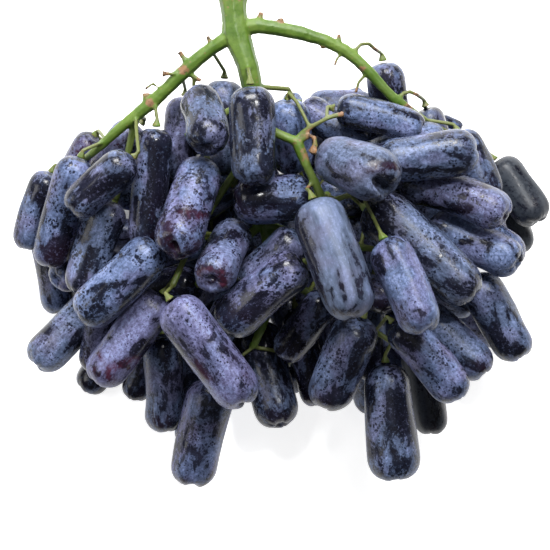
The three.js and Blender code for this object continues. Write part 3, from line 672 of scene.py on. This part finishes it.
# Small late berries that close gaps seen from above: x and y on the plan and radius, in mm.
GAPS = [
    (36, 50, 3.4), (6.8, -36, 4.2), (4, 4, 3.4), (4, 13, 3.4), (-28, 36, 3.4),
    (-63, 42, 3.4), (58, 47, 3.4), (64, 48, 3.4), (63, 53, 3.0), (-33, 20, 3.4), (-82, 33, 3.0),
    (-75, 29, 3.0), (44, 9, 3.4), (54, 14, 3.4), (6, 61, 4.0), (-8, 63, 4.0), (28, 63, 3.6),
]
GAP_HEIGHTS = (8, 13, 18, 24, 30, 36)
GAP_HALF = 2.2 * MM
GAP_SLIP = 2.4 * MM


class PlanCover:
    """Which places seen from the eye fall among the berries, and which of them see the floor."""

    def __init__(self, places, radii):
        seen = seen_plan(places)
        self.low = seen.min(0) - 30 * MM
        high = seen.max(0) + 30 * MM
        xs = np.arange(self.low[0], high[0], COVER_CELL)
        ys = np.arange(self.low[1], high[1], COVER_CELL)
        self.grid = np.stack(np.meshgrid(xs, ys, indexing="ij"), -1)
        self.near = np.full(self.grid.shape[:2], np.inf)
        self.add(places, radii)
        filled = self.near < COVER_REACH
        self.kept = filled.copy()
        steps = round(COVER_REACH / COVER_CELL)
        for angle in np.arange(16) * math.pi / 8:
            for part in (0.5, 1.0):
                shift = [round(part * steps * f(angle)) for f in (math.cos, math.sin)]
                self.kept &= np.roll(filled, shift, (0, 1))

    def add(self, places, radii):
        wide = radii / view_scale(places[:, 2])
        for spot, reach in zip(seen_plan(places), wide):
            self.near = np.minimum(self.near, np.linalg.norm(self.grid - spot, axis=-1) - reach)

    def inside(self, points):
        cells = ((seen_plan(points) - self.low) / COVER_CELL).astype(int)
        cells = np.clip(cells, 0, np.array(self.kept.shape) - 1)
        return self.kept[cells[:, 0], cells[:, 1]]

    def holes(self):
        return self.grid[self.kept & (self.near > 0.4 * MM)]


def seen_plan(places):
    scale = view_scale(places[:, 2])[:, None]
    return (places[:, :2] - np.array(EYE)) / scale


def push_out(beads, reach, fixed, fixed_reach):
    """How far each bead has to move to clear the fixed balls, and its worst overlap."""
    away = beads[:, None] - fixed[None]
    apart = np.linalg.norm(away, axis=2)
    overlap = reach + fixed_reach[None] - apart
    deep = np.maximum(overlap, 0)
    moves = (away / apart[..., None] * deep[..., None]).sum(1)
    counts = np.maximum((deep > 0).sum(1), 1)
    return moves / counts[:, None], overlap.max()


def settle_hidden(middle, way, half, radius, fixed, fixed_reach):
    """Slide one straight berry to a clear place near where it starts."""
    shares = np.linspace(-1, 1, 5)[:, None]
    near = np.linalg.norm(fixed - middle, axis=1) < NEAR_ENOUGH
    fixed = fixed[near]
    fixed_reach = fixed_reach[near]
    for turn in range(HIDDEN_ROUNDS):
        beads = middle + way * half * shares
        moves, worst = push_out(beads, radius, fixed, fixed_reach)
        floor_gap = radius - beads[:, 2]
        moves[:, 2] += np.maximum(floor_gap, 0)
        if worst < HIDDEN_TOUCH / 2 and floor_gap.max() < HIDDEN_TOUCH / 2:
            break
        if turn == 40 and worst > HOPELESS:
            break
        beads = beads + 0.6 * moves
        middle = beads.mean(0)
        way = unit((beads * shares).sum(0))
    worst = max(push_out(middle + way * half * shares, radius, fixed, fixed_reach)[1],
                (radius - (middle + way * half * shares)[:, 2]).max())
    return middle, way, worst


def place_hidden(berries):
    """Berries drawn one by one into the free room below and between the others."""
    balls = [bow_beads(berry) for berry in berries.values()]
    fixed = np.concatenate([places for places, _ in balls])
    reach = np.concatenate([radii for _, radii in balls])
    cover = PlanCover(fixed, reach)
    thin = stem_places[::3]
    placed = {}
    for _ in range(HIDDEN_TRIES):
        if len(placed) == HIDDEN_COUNT:
            break
        holes = cover.holes()
        height = rng.uniform(*HIDDEN_HEIGHTS) * MM
        if len(holes) and rng.uniform() < HOLE_SHARE:
            middle = place_from_plan(*holes[rng.integers(len(holes))], height)
        else:
            middle = place_from_plan(rng.uniform(-85, 85) * MM, rng.uniform(-62, 50) * MM, height)
        radius = rng.uniform(*HIDDEN_RADII) * MM
        half = rng.uniform(*HIDDEN_HALVES) * MM
        way = unit(unit(middle - HEART) + 0.35 * rng.normal(size=3))
        everything = np.concatenate([fixed, thin])
        reaches = np.concatenate([reach, np.full(len(thin), THIN_REACH)])
        middle, way, worst = settle_hidden(middle, way, half, radius, everything, reaches)
        beads = middle + way * half * np.linspace(-1, 1, 5)[:, None]
        rim = np.concatenate([beads + radius * np.array([math.cos(a), math.sin(a), 0])
                              for a in np.arange(8) * math.pi / 4])
        if worst > HIDDEN_TOUCH or beads[:, 2].max() > HIDDEN_TOP or not cover.inside(rim).all():
            continue
        name = "berry_inner_%02d" % (len(placed) + 1)
        ends = [middle - way * (half + radius), middle + way * (half + radius)]
        bend = middle + np.cross(way, rng.normal(size=3)) * 0.8 * MM
        radii = (radius, radius * rng.uniform(0.96, 1.04))
        berry = {"bow": Bow(ends[0], bend, ends[1]), "radii": radii}
        berry["side"] = side_of(way)
        berry["waves"] = rng.normal(size=4) * 0.012
        placed[name] = berry
        fixed = np.concatenate([fixed, beads])
        reach = np.concatenate([reach, np.full(len(beads), radius)])
        cover.add(beads, np.full(len(beads), radius))
    for gap in GAPS:
        berry = late_berry(*gap, fixed, reach, thin)
        if berry:
            placed["berry_inner_%02d" % (len(placed) + 1)] = berry
    return placed


def late_berry(x, y, radius, fixed, reach, thin):
    """A small berry under a gap, at the first height where it has room, or None."""
    everything = np.concatenate([fixed, thin])
    reaches = np.concatenate([reach, np.full(len(thin), THIN_REACH)])
    radius = radius * MM
    for height in GAP_HEIGHTS:
        middle = place_from_plan(x * MM, y * MM, height * MM)
        start = (middle, unit(middle - HEART), GAP_HALF, radius)
        middle, way, worst = settle_hidden(*start, everything, reaches)
        slip = np.linalg.norm(seen_plan(middle[None])[0] - np.array([x, y]) * MM)
        if worst < HIDDEN_TOUCH and slip < GAP_SLIP:
            reach_out = way * (GAP_HALF + radius)
            bow = Bow(middle - reach_out, middle, middle + reach_out)
            side = side_of(way)
            return {"bow": bow, "radii": (radius, radius), "side": side, "waves": np.zeros(4)}
    return None


# Stem

STEM_VOXEL = 0.42 * MM
THICK = 12 * MM
STALK_RADIUS = 0.95 * MM
STALK_POINTS = 9
STALK_ROUNDS = 90
STALK_SIDES = 8
STALK_STRAIGHT = 3 * MM
DISC_GAP = 0.3 * MM
DISC_RADIUS = 2 * MM

# Brown scars and dry ends of the stem: x, y on the plan and height in mm, reach in mm.
SCARS = [
    (-15, 100, 52, 6.0), (-24.2, 86, 53, 2.4), (-34.4, 80.4, 51, 2.6), (-40.4, 72.6, 53, 3.2),
    (-26.8, 70, 50, 2.4), (-46.8, 67, 50, 2.2), (-46.4, 65.4, 48, 2.4), (-5, 94.6, 53, 2.4),
    (2, 92.4, 53, 2.8), (17.2, 81.6, 51, 2.0), (23, 86.8, 52, 2.4), (21.4, 75.4, 51, 2.4),
    (36, 81.4, 46, 2.4), (29, 65.6, 48, 2.6), (51, 65, 45, 2.6), (24.6, 58, 62, 3.4),
    (13.2, 44, 64, 5.0), (13.4, 50.4, 63, 3.4), (8, 48, 61, 2.6), (11.4, 31, 61, 2.2),
    (31, 74, 52, 2.2), (-33, 74, 52, 2.6), (48, 60, 46, 3.0), (-45, 62, 49, 2.4),
]


def stalk_line(berry, fixed, reach):
    """A path from the stem to a berry's stalk end that bends clear of the berries."""
    way = berry["bow"].along(0)
    end = berry["bow"].at(0) + way * (STALK_PIT - DISC_GAP)
    outside = end - way * STALK_STRAIGHT
    root = stem_places[np.linalg.norm(stem_places - outside, axis=1).argmin()]
    line = np.concatenate([np.linspace(root, outside, STALK_POINTS), [end]])
    for _ in range(STALK_ROUNDS):
        free = line[1:-2]
        free += 0.25 * ((line[:-3] + line[2:-1]) / 2 - free)
        free += 0.7 * push_out(free, STALK_RADIUS, fixed, reach)[0]
        free[:, 2] = np.maximum(free[:, 2], STALK_RADIUS)
    return line


def tube(line, radii):
    """Rings and faces of a round tube along a line, closed at both ends."""
    ways = np.gradient(line, axis=0)
    ways /= np.linalg.norm(ways, axis=1, keepdims=True)
    side = side_of(ways[0])
    angles = np.arange(STALK_SIDES) * 2 * math.pi / STALK_SIDES
    rings = []
    for place, way, radius in zip(line, ways, radii):
        side = unit(side - way * (side @ way))
        over = np.cross(way, side)
        ring = place + radius * (np.outer(np.cos(angles), side) + np.outer(np.sin(angles), over))
        rings.append(ring)
    points = np.concatenate([*rings, [line[0]], [line[-1]]])
    return points, loft_faces(len(rings), STALK_SIDES)


def stem_mesh(lines):
    """The stem of the frame with the added stalks, joined in one rough mesh."""
    places, faces = welded(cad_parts["stem"])
    all_places = [places]
    all_faces = faces.tolist()
    count = len(places)
    for line in lines:
        radii = np.full(len(line), STALK_RADIUS)
        radii[-1] = DISC_RADIUS
        points, tube_faces = tube(line, radii)
        all_places.append(points)
        all_faces += [tuple(corner + count for corner in face) for face in tube_faces]
        count += len(points)
    rough = bpy.data.meshes.new("stem_rough")
    rough.from_pydata(np.concatenate(all_places).tolist(), [], all_faces)
    return rough


def remade(mesh, voxel, smoothing):
    """A copy of a mesh, remade on a fine even net and smoothed."""
    holder = bpy.data.objects.new("holder", mesh)
    bpy.context.scene.collection.objects.link(holder)
    remesh = holder.modifiers.new("remesh", "REMESH")
    remesh.mode = "VOXEL"
    remesh.voxel_size = voxel
    remesh.use_smooth_shade = True
    smooth = holder.modifiers.new("smooth", "SMOOTH")
    smooth.factor = 0.5
    smooth.iterations = smoothing
    graph = bpy.context.evaluated_depsgraph_get()
    made = bpy.data.meshes.new_from_object(holder.evaluated_get(graph))
    bpy.data.objects.remove(holder)
    return made


def mesh_normals(mesh):
    normals = np.empty(len(mesh.vertices) * 3)
    mesh.vertices.foreach_get("normal", normals)
    return normals.reshape(-1, 3)


def rough_field(places, size, seed):
    return np.array([noise.noise(Vector(place / size) + Vector((seed, 0, 0))) for place in places])


def thickness(mesh, places, normals):
    """How thick the stem is below each of its vertices, evened out between neighbours."""
    tree = BVHTree.FromPolygons(places.tolist(), [tuple(face.vertices) for face in mesh.polygons])
    found = np.full(len(places), THICK)
    for index, (place, normal) in enumerate(zip(places, normals)):
        hit = tree.ray_cast(Vector(place - normal * 0.1 * MM), Vector(-normal), THICK)
        if hit[3] is not None:
            found[index] = hit[3]
    edges = np.empty(len(mesh.edges) * 2, dtype=int)
    mesh.edges.foreach_get("vertices", edges)
    edges = edges.reshape(-1, 2)
    counts = np.bincount(edges.ravel(), minlength=len(places))
    for _ in range(12):
        sums = np.bincount(edges[:, 0], found[edges[:, 1]], len(places))
        sums += np.bincount(edges[:, 1], found[edges[:, 0]], len(places))
        found = 0.3 * found + 0.7 * sums / counts
    return found


def fine_stem(lines, stalk_ends):
    mesh = remade(stem_mesh(lines), STEM_VOXEL, 4)
    places = mesh_places(mesh)
    normals = mesh_normals(mesh)
    deep = thickness(mesh, places, normals)
    thin = np.clip((3.4 * MM - deep) / (1.4 * MM), 0, 1)
    swell = np.maximum(0.10 * MM - 0.30 * MM * thin, -0.09 * deep)
    swell += (1 - 0.8 * thin) * 0.16 * MM * rough_field(places, 4.5 * MM, 3.0)
    swell += (1 - 0.8 * thin) * 0.10 * MM * rough_field(places, 1.6 * MM, 9.0)
    places += normals * swell[:, None]
    places[:, 2] = np.maximum(places[:, 2], 0)
    mesh.vertices.foreach_set("co", places.ravel())
    brown = np.zeros(len(places))
    for x, y, height, reach in SCARS:
        spot = place_from_plan(x * MM, y * MM, height * MM)
        apart = np.linalg.norm(places - spot, axis=1) / (reach * MM)
        brown = np.maximum(brown, np.exp(-(apart**2)))
    for end in stalk_ends:
        apart = np.linalg.norm(places - end, axis=1) / (2.3 * MM)
        brown = np.maximum(brown, 0.75 * np.exp(-(apart**2)))
    add_attribute(mesh, "brown", "FLOAT", brown)
    add_attribute(mesh, "thin", "FLOAT", thin)
    mesh.update()
    return mesh


# Materials


class Shade:
    """A material's node tree, with a short way to add and join its nodes."""

    def __init__(self, name):
        self.material = bpy.data.materials.new(name)
        self.material.use_nodes = True
        self.tree = self.material.node_tree
        self.surface = self.tree.nodes["Principled BSDF"]

    def node(self, kind, **settings):
        node = self.tree.nodes.new(kind)
        for key, value in settings.items():
            setattr(node, key, value)
        return node

    def put(self, socket, value):
        if isinstance(value, bpy.types.NodeSocket):
            self.tree.links.new(value, socket)
        else:
            socket.default_value = value

    def attribute(self, name, output="Fac"):
        return self.node("ShaderNodeAttribute", attribute_name=name).outputs[output]

    def maths(self, operation, *values, clamp=False):
        node = self.node("ShaderNodeMath", operation=operation, use_clamp=clamp)
        for socket, value in zip(node.inputs, values):
            self.put(socket, value)
        return node.outputs[0]

    def times(self, first, second):
        return self.maths("MULTIPLY", first, second)

    def scaled(self, vector, scale):
        node = self.node("ShaderNodeVectorMath", operation="MULTIPLY")
        self.put(node.inputs[0], vector)
        node.inputs[1].default_value = scale
        return node.outputs[0]

    def noise(self, vector, size, detail=3.0, roughness=0.5, distortion=0.0):
        node = self.node("ShaderNodeTexNoise")
        self.put(node.inputs["Vector"], vector)
        node.inputs["Scale"].default_value = 1 / size
        node.inputs["Detail"].default_value = detail
        node.inputs["Roughness"].default_value = roughness
        node.inputs["Distortion"].default_value = distortion
        return node.outputs[0]

    def cells(self, vector, size):
        node = self.node("ShaderNodeTexVoronoi", feature="F1")
        self.put(node.inputs["Vector"], vector)
        node.inputs["Scale"].default_value = 1 / size
        return node.outputs["Distance"], node.outputs["Color"]

    def wobbled(self, vector, size, reach):
        """A place moved a little aside by a noise, so that round shapes turn ragged."""
        stir = self.node("ShaderNodeTexNoise")
        self.put(stir.inputs["Vector"], vector)
        stir.inputs["Scale"].default_value = 1 / size
        node = self.node("ShaderNodeVectorMath", operation="MULTIPLY_ADD")
        self.put(node.inputs[0], stir.outputs["Color"])
        node.inputs[1].default_value = (reach, reach, reach)
        self.put(node.inputs[2], vector)
        return node.outputs[0]

    def ramp(self, value, low, high, out_low=0.0, out_high=1.0):
        node = self.node("ShaderNodeMapRange", interpolation_type="SMOOTHSTEP")
        for socket, given in zip(node.inputs, (value, low, high, out_low, out_high)):
            self.put(socket, given)
        return node.outputs[0]

    def mix(self, share, first, second):
        node = self.node("ShaderNodeMix", data_type="RGBA")
        self.put(node.inputs["Factor"], share)
        self.put(node.inputs[6], first)
        self.put(node.inputs[7], second)
        return node.outputs[2]

    def bump(self, height, distance, strength=1.0):
        node = self.node("ShaderNodeBump")
        node.inputs["Strength"].default_value = strength
        node.inputs["Distance"].default_value = distance
        self.put(node.inputs["Height"], height)
        self.put(self.surface.inputs["Normal"], node.outputs[0])


SKIN_DARK = (0.0042, 0.0046, 0.0100, 1)
SKIN_WINE = (0.055, 0.012, 0.026, 1)
BLOOM_BLUE = (0.110, 0.155, 0.300, 1)
BLOOM_LILAC = (0.150, 0.150, 0.300, 1)
BLOOM_GREY = (0.072, 0.088, 0.108, 1)
BLOOM_THICK = (0.240, 0.290, 0.500, 1)


def dark_dots(shade, place, size, biggest):
    """Small round dark spots of many sizes, some cells having none."""
    distance, colour = shade.cells(place, size)
    split = shade.node("ShaderNodeSeparateColor")
    shade.put(split.inputs[0], colour)
    reach = shade.ramp(split.outputs[0], 0.1, 1.0, 0.0, biggest)
    edge = shade.maths("SUBTRACT", reach, distance)
    return shade.ramp(edge, -0.05, 0.08)


def grape_skin():
    shade = Shade("grape_skin")
    place = shade.attribute("skin_place", "Vector")
    drawn_out = shade.scaled(place, (1, 1, 0.5))
    streaky = shade.scaled(place, (1, 1, 0.14))
    bloom = shade.attribute("bloom")

    # The bloom is rubbed off in ragged patches, with crumbs of it left inside them.
    wide = shade.noise(drawn_out, 10 * MM, 3, 0.5, 0.8)
    ragged = shade.noise(drawn_out, 2.4 * MM, 7, 0.72, 0.4)
    mixed = shade.maths("ADD", shade.times(wide, 0.5), shade.times(ragged, 0.5))
    level = shade.maths("MULTIPLY_ADD", bloom, -0.17, 0.555)
    above = shade.maths("SUBTRACT", mixed, level)
    # The strokes thin the bloom or lay more on, which also paints shade, shadows, highlights and pale
    # rims into the bloom.
    above = shade.maths("MULTIPLY_ADD", shade.attribute("rubbed"), -0.15, above)
    powder = shade.ramp(above, -0.015, 0.03)
    thick = shade.ramp(above, 0.0, 0.16, 0.45, 1.0)

    # Dark pin spots crowd in some places and are few in others.
    crowd = shade.ramp(shade.noise(place, 7 * MM, 2), 0.35, 0.65, 0.25, 1.3)
    biggest = shade.times(crowd, shade.attribute("dots"))
    bent = shade.wobbled(place, 0.8 * MM, 0.9 * MM)
    coarse = dark_dots(shade, bent, 1.9 * MM, shade.times(biggest, 0.40))
    fine = dark_dots(shade, bent, 0.9 * MM, shade.times(biggest, 0.55))
    spots = shade.maths("MAXIMUM", coarse, fine)
    powder = shade.times(powder, shade.maths("SUBTRACT", 1.0, spots))

    calm = shade.ramp(bloom, 0.7, 1.0, 0.0, 0.88)
    streaks = shade.ramp(shade.noise(streaky, 1.9 * MM, 4, 0.6), 0.32, 0.68, 0.65, 1.0)
    streaks = shade.maths("MAXIMUM", streaks, calm)
    cloud = shade.ramp(shade.noise(place, 1.1 * MM, 6, 0.75), 0.36, 0.64, 0.3, 1.0)
    cloud = shade.maths("MAXIMUM", cloud, calm)
    thick = shade.times(shade.times(streaks, cloud), thick)
    haze = shade.ramp(shade.noise(place, 4 * MM, 5, 0.65), 0.36, 0.66, 0.05, 0.42)
    haze = shade.times(haze, shade.ramp(shade.attribute("rubbed"), 0.2, 0.9, 1.0, 0.25))
    cover = shade.maths("MAXIMUM", powder, shade.times(haze, bloom))
    crumbs = shade.ramp(shade.noise(place, 1.1 * MM, 6, 0.8), 0.55, 0.63, 0.0, 0.7)
    cover = shade.maths("MAXIMUM", cover, crumbs)
    cover = shade.times(cover, shade.ramp(thick, 0.1, 0.6, 0.35, 1.0))

    tint = shade.ramp(shade.noise(place, 12 * MM, 2), 0.40, 0.62)
    tint = shade.maths("ADD", tint, shade.attribute("lilac"), clamp=True)
    dust = shade.mix(tint, BLOOM_BLUE, BLOOM_LILAC)
    grey = shade.attribute("grey")
    dust = shade.mix(grey, dust, BLOOM_GREY)
    heaped = shade.ramp(thick, 0.45, 0.95, 0.0, 0.75)
    whiter = shade.times(heaped, shade.ramp(grey, 0.3, 1.0, 1.0, 0.0))
    dust = shade.mix(whiter, dust, BLOOM_THICK)
    # Grey above 1 darkens the bloom towards the dark skin: painted shade.
    dust = shade.mix(shade.ramp(grey, 1.0, 2.0, 0.0, 0.75), dust, SKIN_DARK)
    redness = shade.ramp(shade.noise(drawn_out, 7 * MM, 4), 0.4, 0.62)
    at_tip = shade.ramp(shade.attribute("along"), 0.45, 1.0, 0.15, 1.0)
    redness = shade.times(redness, at_tip)
    redness = shade.times(redness, shade.attribute("wine"))
    flush = shade.ramp(shade.noise(drawn_out, 2.6 * MM, 5, 0.65), 0.38, 0.58, 0.25, 1.0)
    flush = shade.times(shade.attribute("flushed"), flush)
    redness = shade.maths("MAXIMUM", redness, flush, clamp=True)
    under = shade.mix(redness, SKIN_DARK, SKIN_WINE)
    cover = shade.times(cover, shade.maths("MULTIPLY_ADD", redness, -0.5, 1.0))
    shade.put(shade.surface.inputs["Base Color"], shade.mix(cover, under, dust))
    shade.put(shade.surface.inputs["Roughness"], shade.ramp(cover, 0.0, 1.0, 0.19, 0.46))
    shade.surface.inputs["Specular IOR Level"].default_value = 0.30
    waves = shade.noise(drawn_out, 2.2 * MM, 4, 0.55)
    shade.bump(shade.maths("ADD", waves, shade.times(powder, 0.25)), 0.16 * MM, 0.7)
    return shade.material


STEM_GREEN = (0.062, 0.125, 0.010, 1)
STEM_PALE = (0.112, 0.185, 0.022, 1)
STEM_BROWN = (0.230, 0.125, 0.060, 1)
STEM_DARK = (0.060, 0.040, 0.022, 1)
STALK_OLIVE = (0.120, 0.140, 0.035, 1)


def stem_green():
    shade = Shade("stem_green")
    place = shade.node("ShaderNodeTexCoord").outputs["Object"]
    tone = shade.ramp(shade.noise(place, 7 * MM, 5, 0.6), 0.35, 0.65)
    colour = shade.mix(tone, STEM_GREEN, STEM_PALE)
    colour = shade.mix(shade.attribute("thin"), colour, STALK_OLIVE)
    patch = shade.maths("SUBTRACT", shade.noise(place, 1.3 * MM, 4, 0.65), 0.5)
    brown = shade.maths("ADD", shade.attribute("brown"), shade.times(patch, 1.5))
    colour = shade.mix(shade.ramp(brown, 0.45, 0.80), colour, STEM_BROWN)
    deep = shade.maths("ADD", shade.attribute("brown"), shade.times(patch, -2.0))
    colour = shade.mix(shade.ramp(deep, 0.85, 1.1), colour, STEM_DARK)
    specks = dark_dots(shade, place, 2.6 * MM, 0.16)
    colour = shade.mix(shade.times(specks, 0.6), colour, STEM_BROWN)
    shade.put(shade.surface.inputs["Base Color"], colour)
    shade.put(shade.surface.inputs["Roughness"], shade.ramp(tone, 0.0, 1.0, 0.46, 0.58))
    shade.surface.inputs["Subsurface Weight"].default_value = 0.15
    shade.surface.inputs["Subsurface Radius"].default_value = (0.6 * MM, 1.0 * MM, 0.3 * MM)
    shade.bump(shade.noise(place, 0.8 * MM, 4, 0.6), 0.15 * MM, 0.6)
    return shade.material


# The floor glows a little, so that shadows on it stay pale, but not right under the bunch.
FLOOR_GLOW = 0.80
DARK_MIDDLE = (0.0, 9 * MM, 0.0)
DARK_REACH = (76 * MM, 38 * MM)


def floor_white():
    shade = Shade("floor_white")
    place = shade.node("ShaderNodeTexCoord").outputs["Object"]
    tone = shade.noise(place, 40 * MM, 2)
    colour = shade.mix(tone, (0.86, 0.86, 0.86, 1), (0.88, 0.88, 0.88, 1))
    shade.put(shade.surface.inputs["Base Color"], colour)
    shade.surface.inputs["Roughness"].default_value = 0.7
    offset = shade.node("ShaderNodeVectorMath", operation="SUBTRACT")
    shade.put(offset.inputs[0], place)
    offset.inputs[1].default_value = DARK_MIDDLE
    squeezed = shade.scaled(offset.outputs[0], (1 / DARK_REACH[0], 1 / DARK_REACH[1], 0))
    apart = shade.node("ShaderNodeVectorMath", operation="LENGTH")
    shade.put(apart.inputs[0], squeezed)
    glow = shade.ramp(apart.outputs["Value"], 0.85, 1.15, 0.0, FLOOR_GLOW)
    shade.surface.inputs["Emission Color"].default_value = (1, 1, 1, 1)
    shade.put(shade.surface.inputs["Emission Strength"], glow)
    return shade.material


SKIN = grape_skin()
GREEN = stem_green()

berries = {}
stood_for = {}
for node_name, node in sorted(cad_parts.items()):
    if node_name == "stem":
        continue
    for index, places in enumerate(parted(node)):
        berry_name = node_name if index == 0 else node_name + "_partner_%d" % index
        berries[berry_name] = read_berry(places)
        stood_for[berry_name] = node_name
hidden = place_hidden(berries)
for berry_name, berry in {**berries, **hidden}.items():
    look = berry_look(berry_name)
    mesh = berry_mesh("fine_" + berry_name, berry, look)
    piece = add_piece("fine_" + berry_name, mesh, SKIN)
    if berry_name in stood_for:
        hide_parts(stood_for[berry_name])

balls = [bow_beads(berry) for berry in {**berries, **hidden}.values()]
ball_places = np.concatenate([places for places, _ in balls])
ball_radii = np.concatenate([radii for _, radii in balls])
loose = [berry for name, berry in berries.items() if "partner" in name] + list(hidden.values())
lines = [stalk_line(berry, ball_places, ball_radii) for berry in loose]
stalk_ends = [berry["bow"].at(0) for berry in {**berries, **hidden}.values()]
stem = add_piece("fine_stem", fine_stem(lines, stalk_ends), GREEN)
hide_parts("stem")

# Floor and light


FLOOR_HALF = 2.5
SKY = 0.08
LIT_SPOT = (0, 0, 0.03)

# Each softbox: name, place, width and height in metres, and watts.
SOFTBOXES = [
    ("key", (-0.04, 0.60, 0.60), (0.42, 0.30), 11.5),
    ("glint", (0.22, 0.30, 0.74), (0.09, 0.05), 3.0),
    ("left", (-0.75, 0.05, 0.55), (0.4, 0.4), 2.2),
    ("top", (0.0, 0.1, 1.1), (0.9, 0.9), 0.7),
]


def add_floor():
    corners = [(x * FLOOR_HALF, y * FLOOR_HALF, 0) for x, y in ((-1, -1), (1, -1), (1, 1), (-1, 1))]
    mesh = bpy.data.meshes.new("floor")
    mesh.from_pydata(corners, [], [(0, 1, 2, 3)])
    floor = bpy.data.objects.new("floor", mesh)
    bpy.context.scene.collection.objects.link(floor)
    mesh.materials.append(floor_white())


def add_softbox(name, place, size, power):
    data = bpy.data.lights.new(name, "AREA")
    data.shape = "RECTANGLE"
    data.size, data.size_y = size
    data.energy = power
    light = bpy.data.objects.new(name, data)
    light.location = place
    way = Vector(LIT_SPOT) - Vector(place)
    light.rotation_euler = way.to_track_quat("-Z", "Y").to_euler()
    bpy.context.scene.collection.objects.link(light)


def add_sky(strength):
    world = bpy.data.worlds.new("studio")
    world.use_nodes = True
    backdrop = world.node_tree.nodes["Background"]
    backdrop.inputs["Color"].default_value = (1, 1, 1, 1)
    backdrop.inputs["Strength"].default_value = strength
    bpy.context.scene.world = world


add_floor()
add_sky(SKY)
for softbox in SOFTBOXES:
    add_softbox(*softbox)
bpy.context.scene.view_settings.view_transform = "Standard"
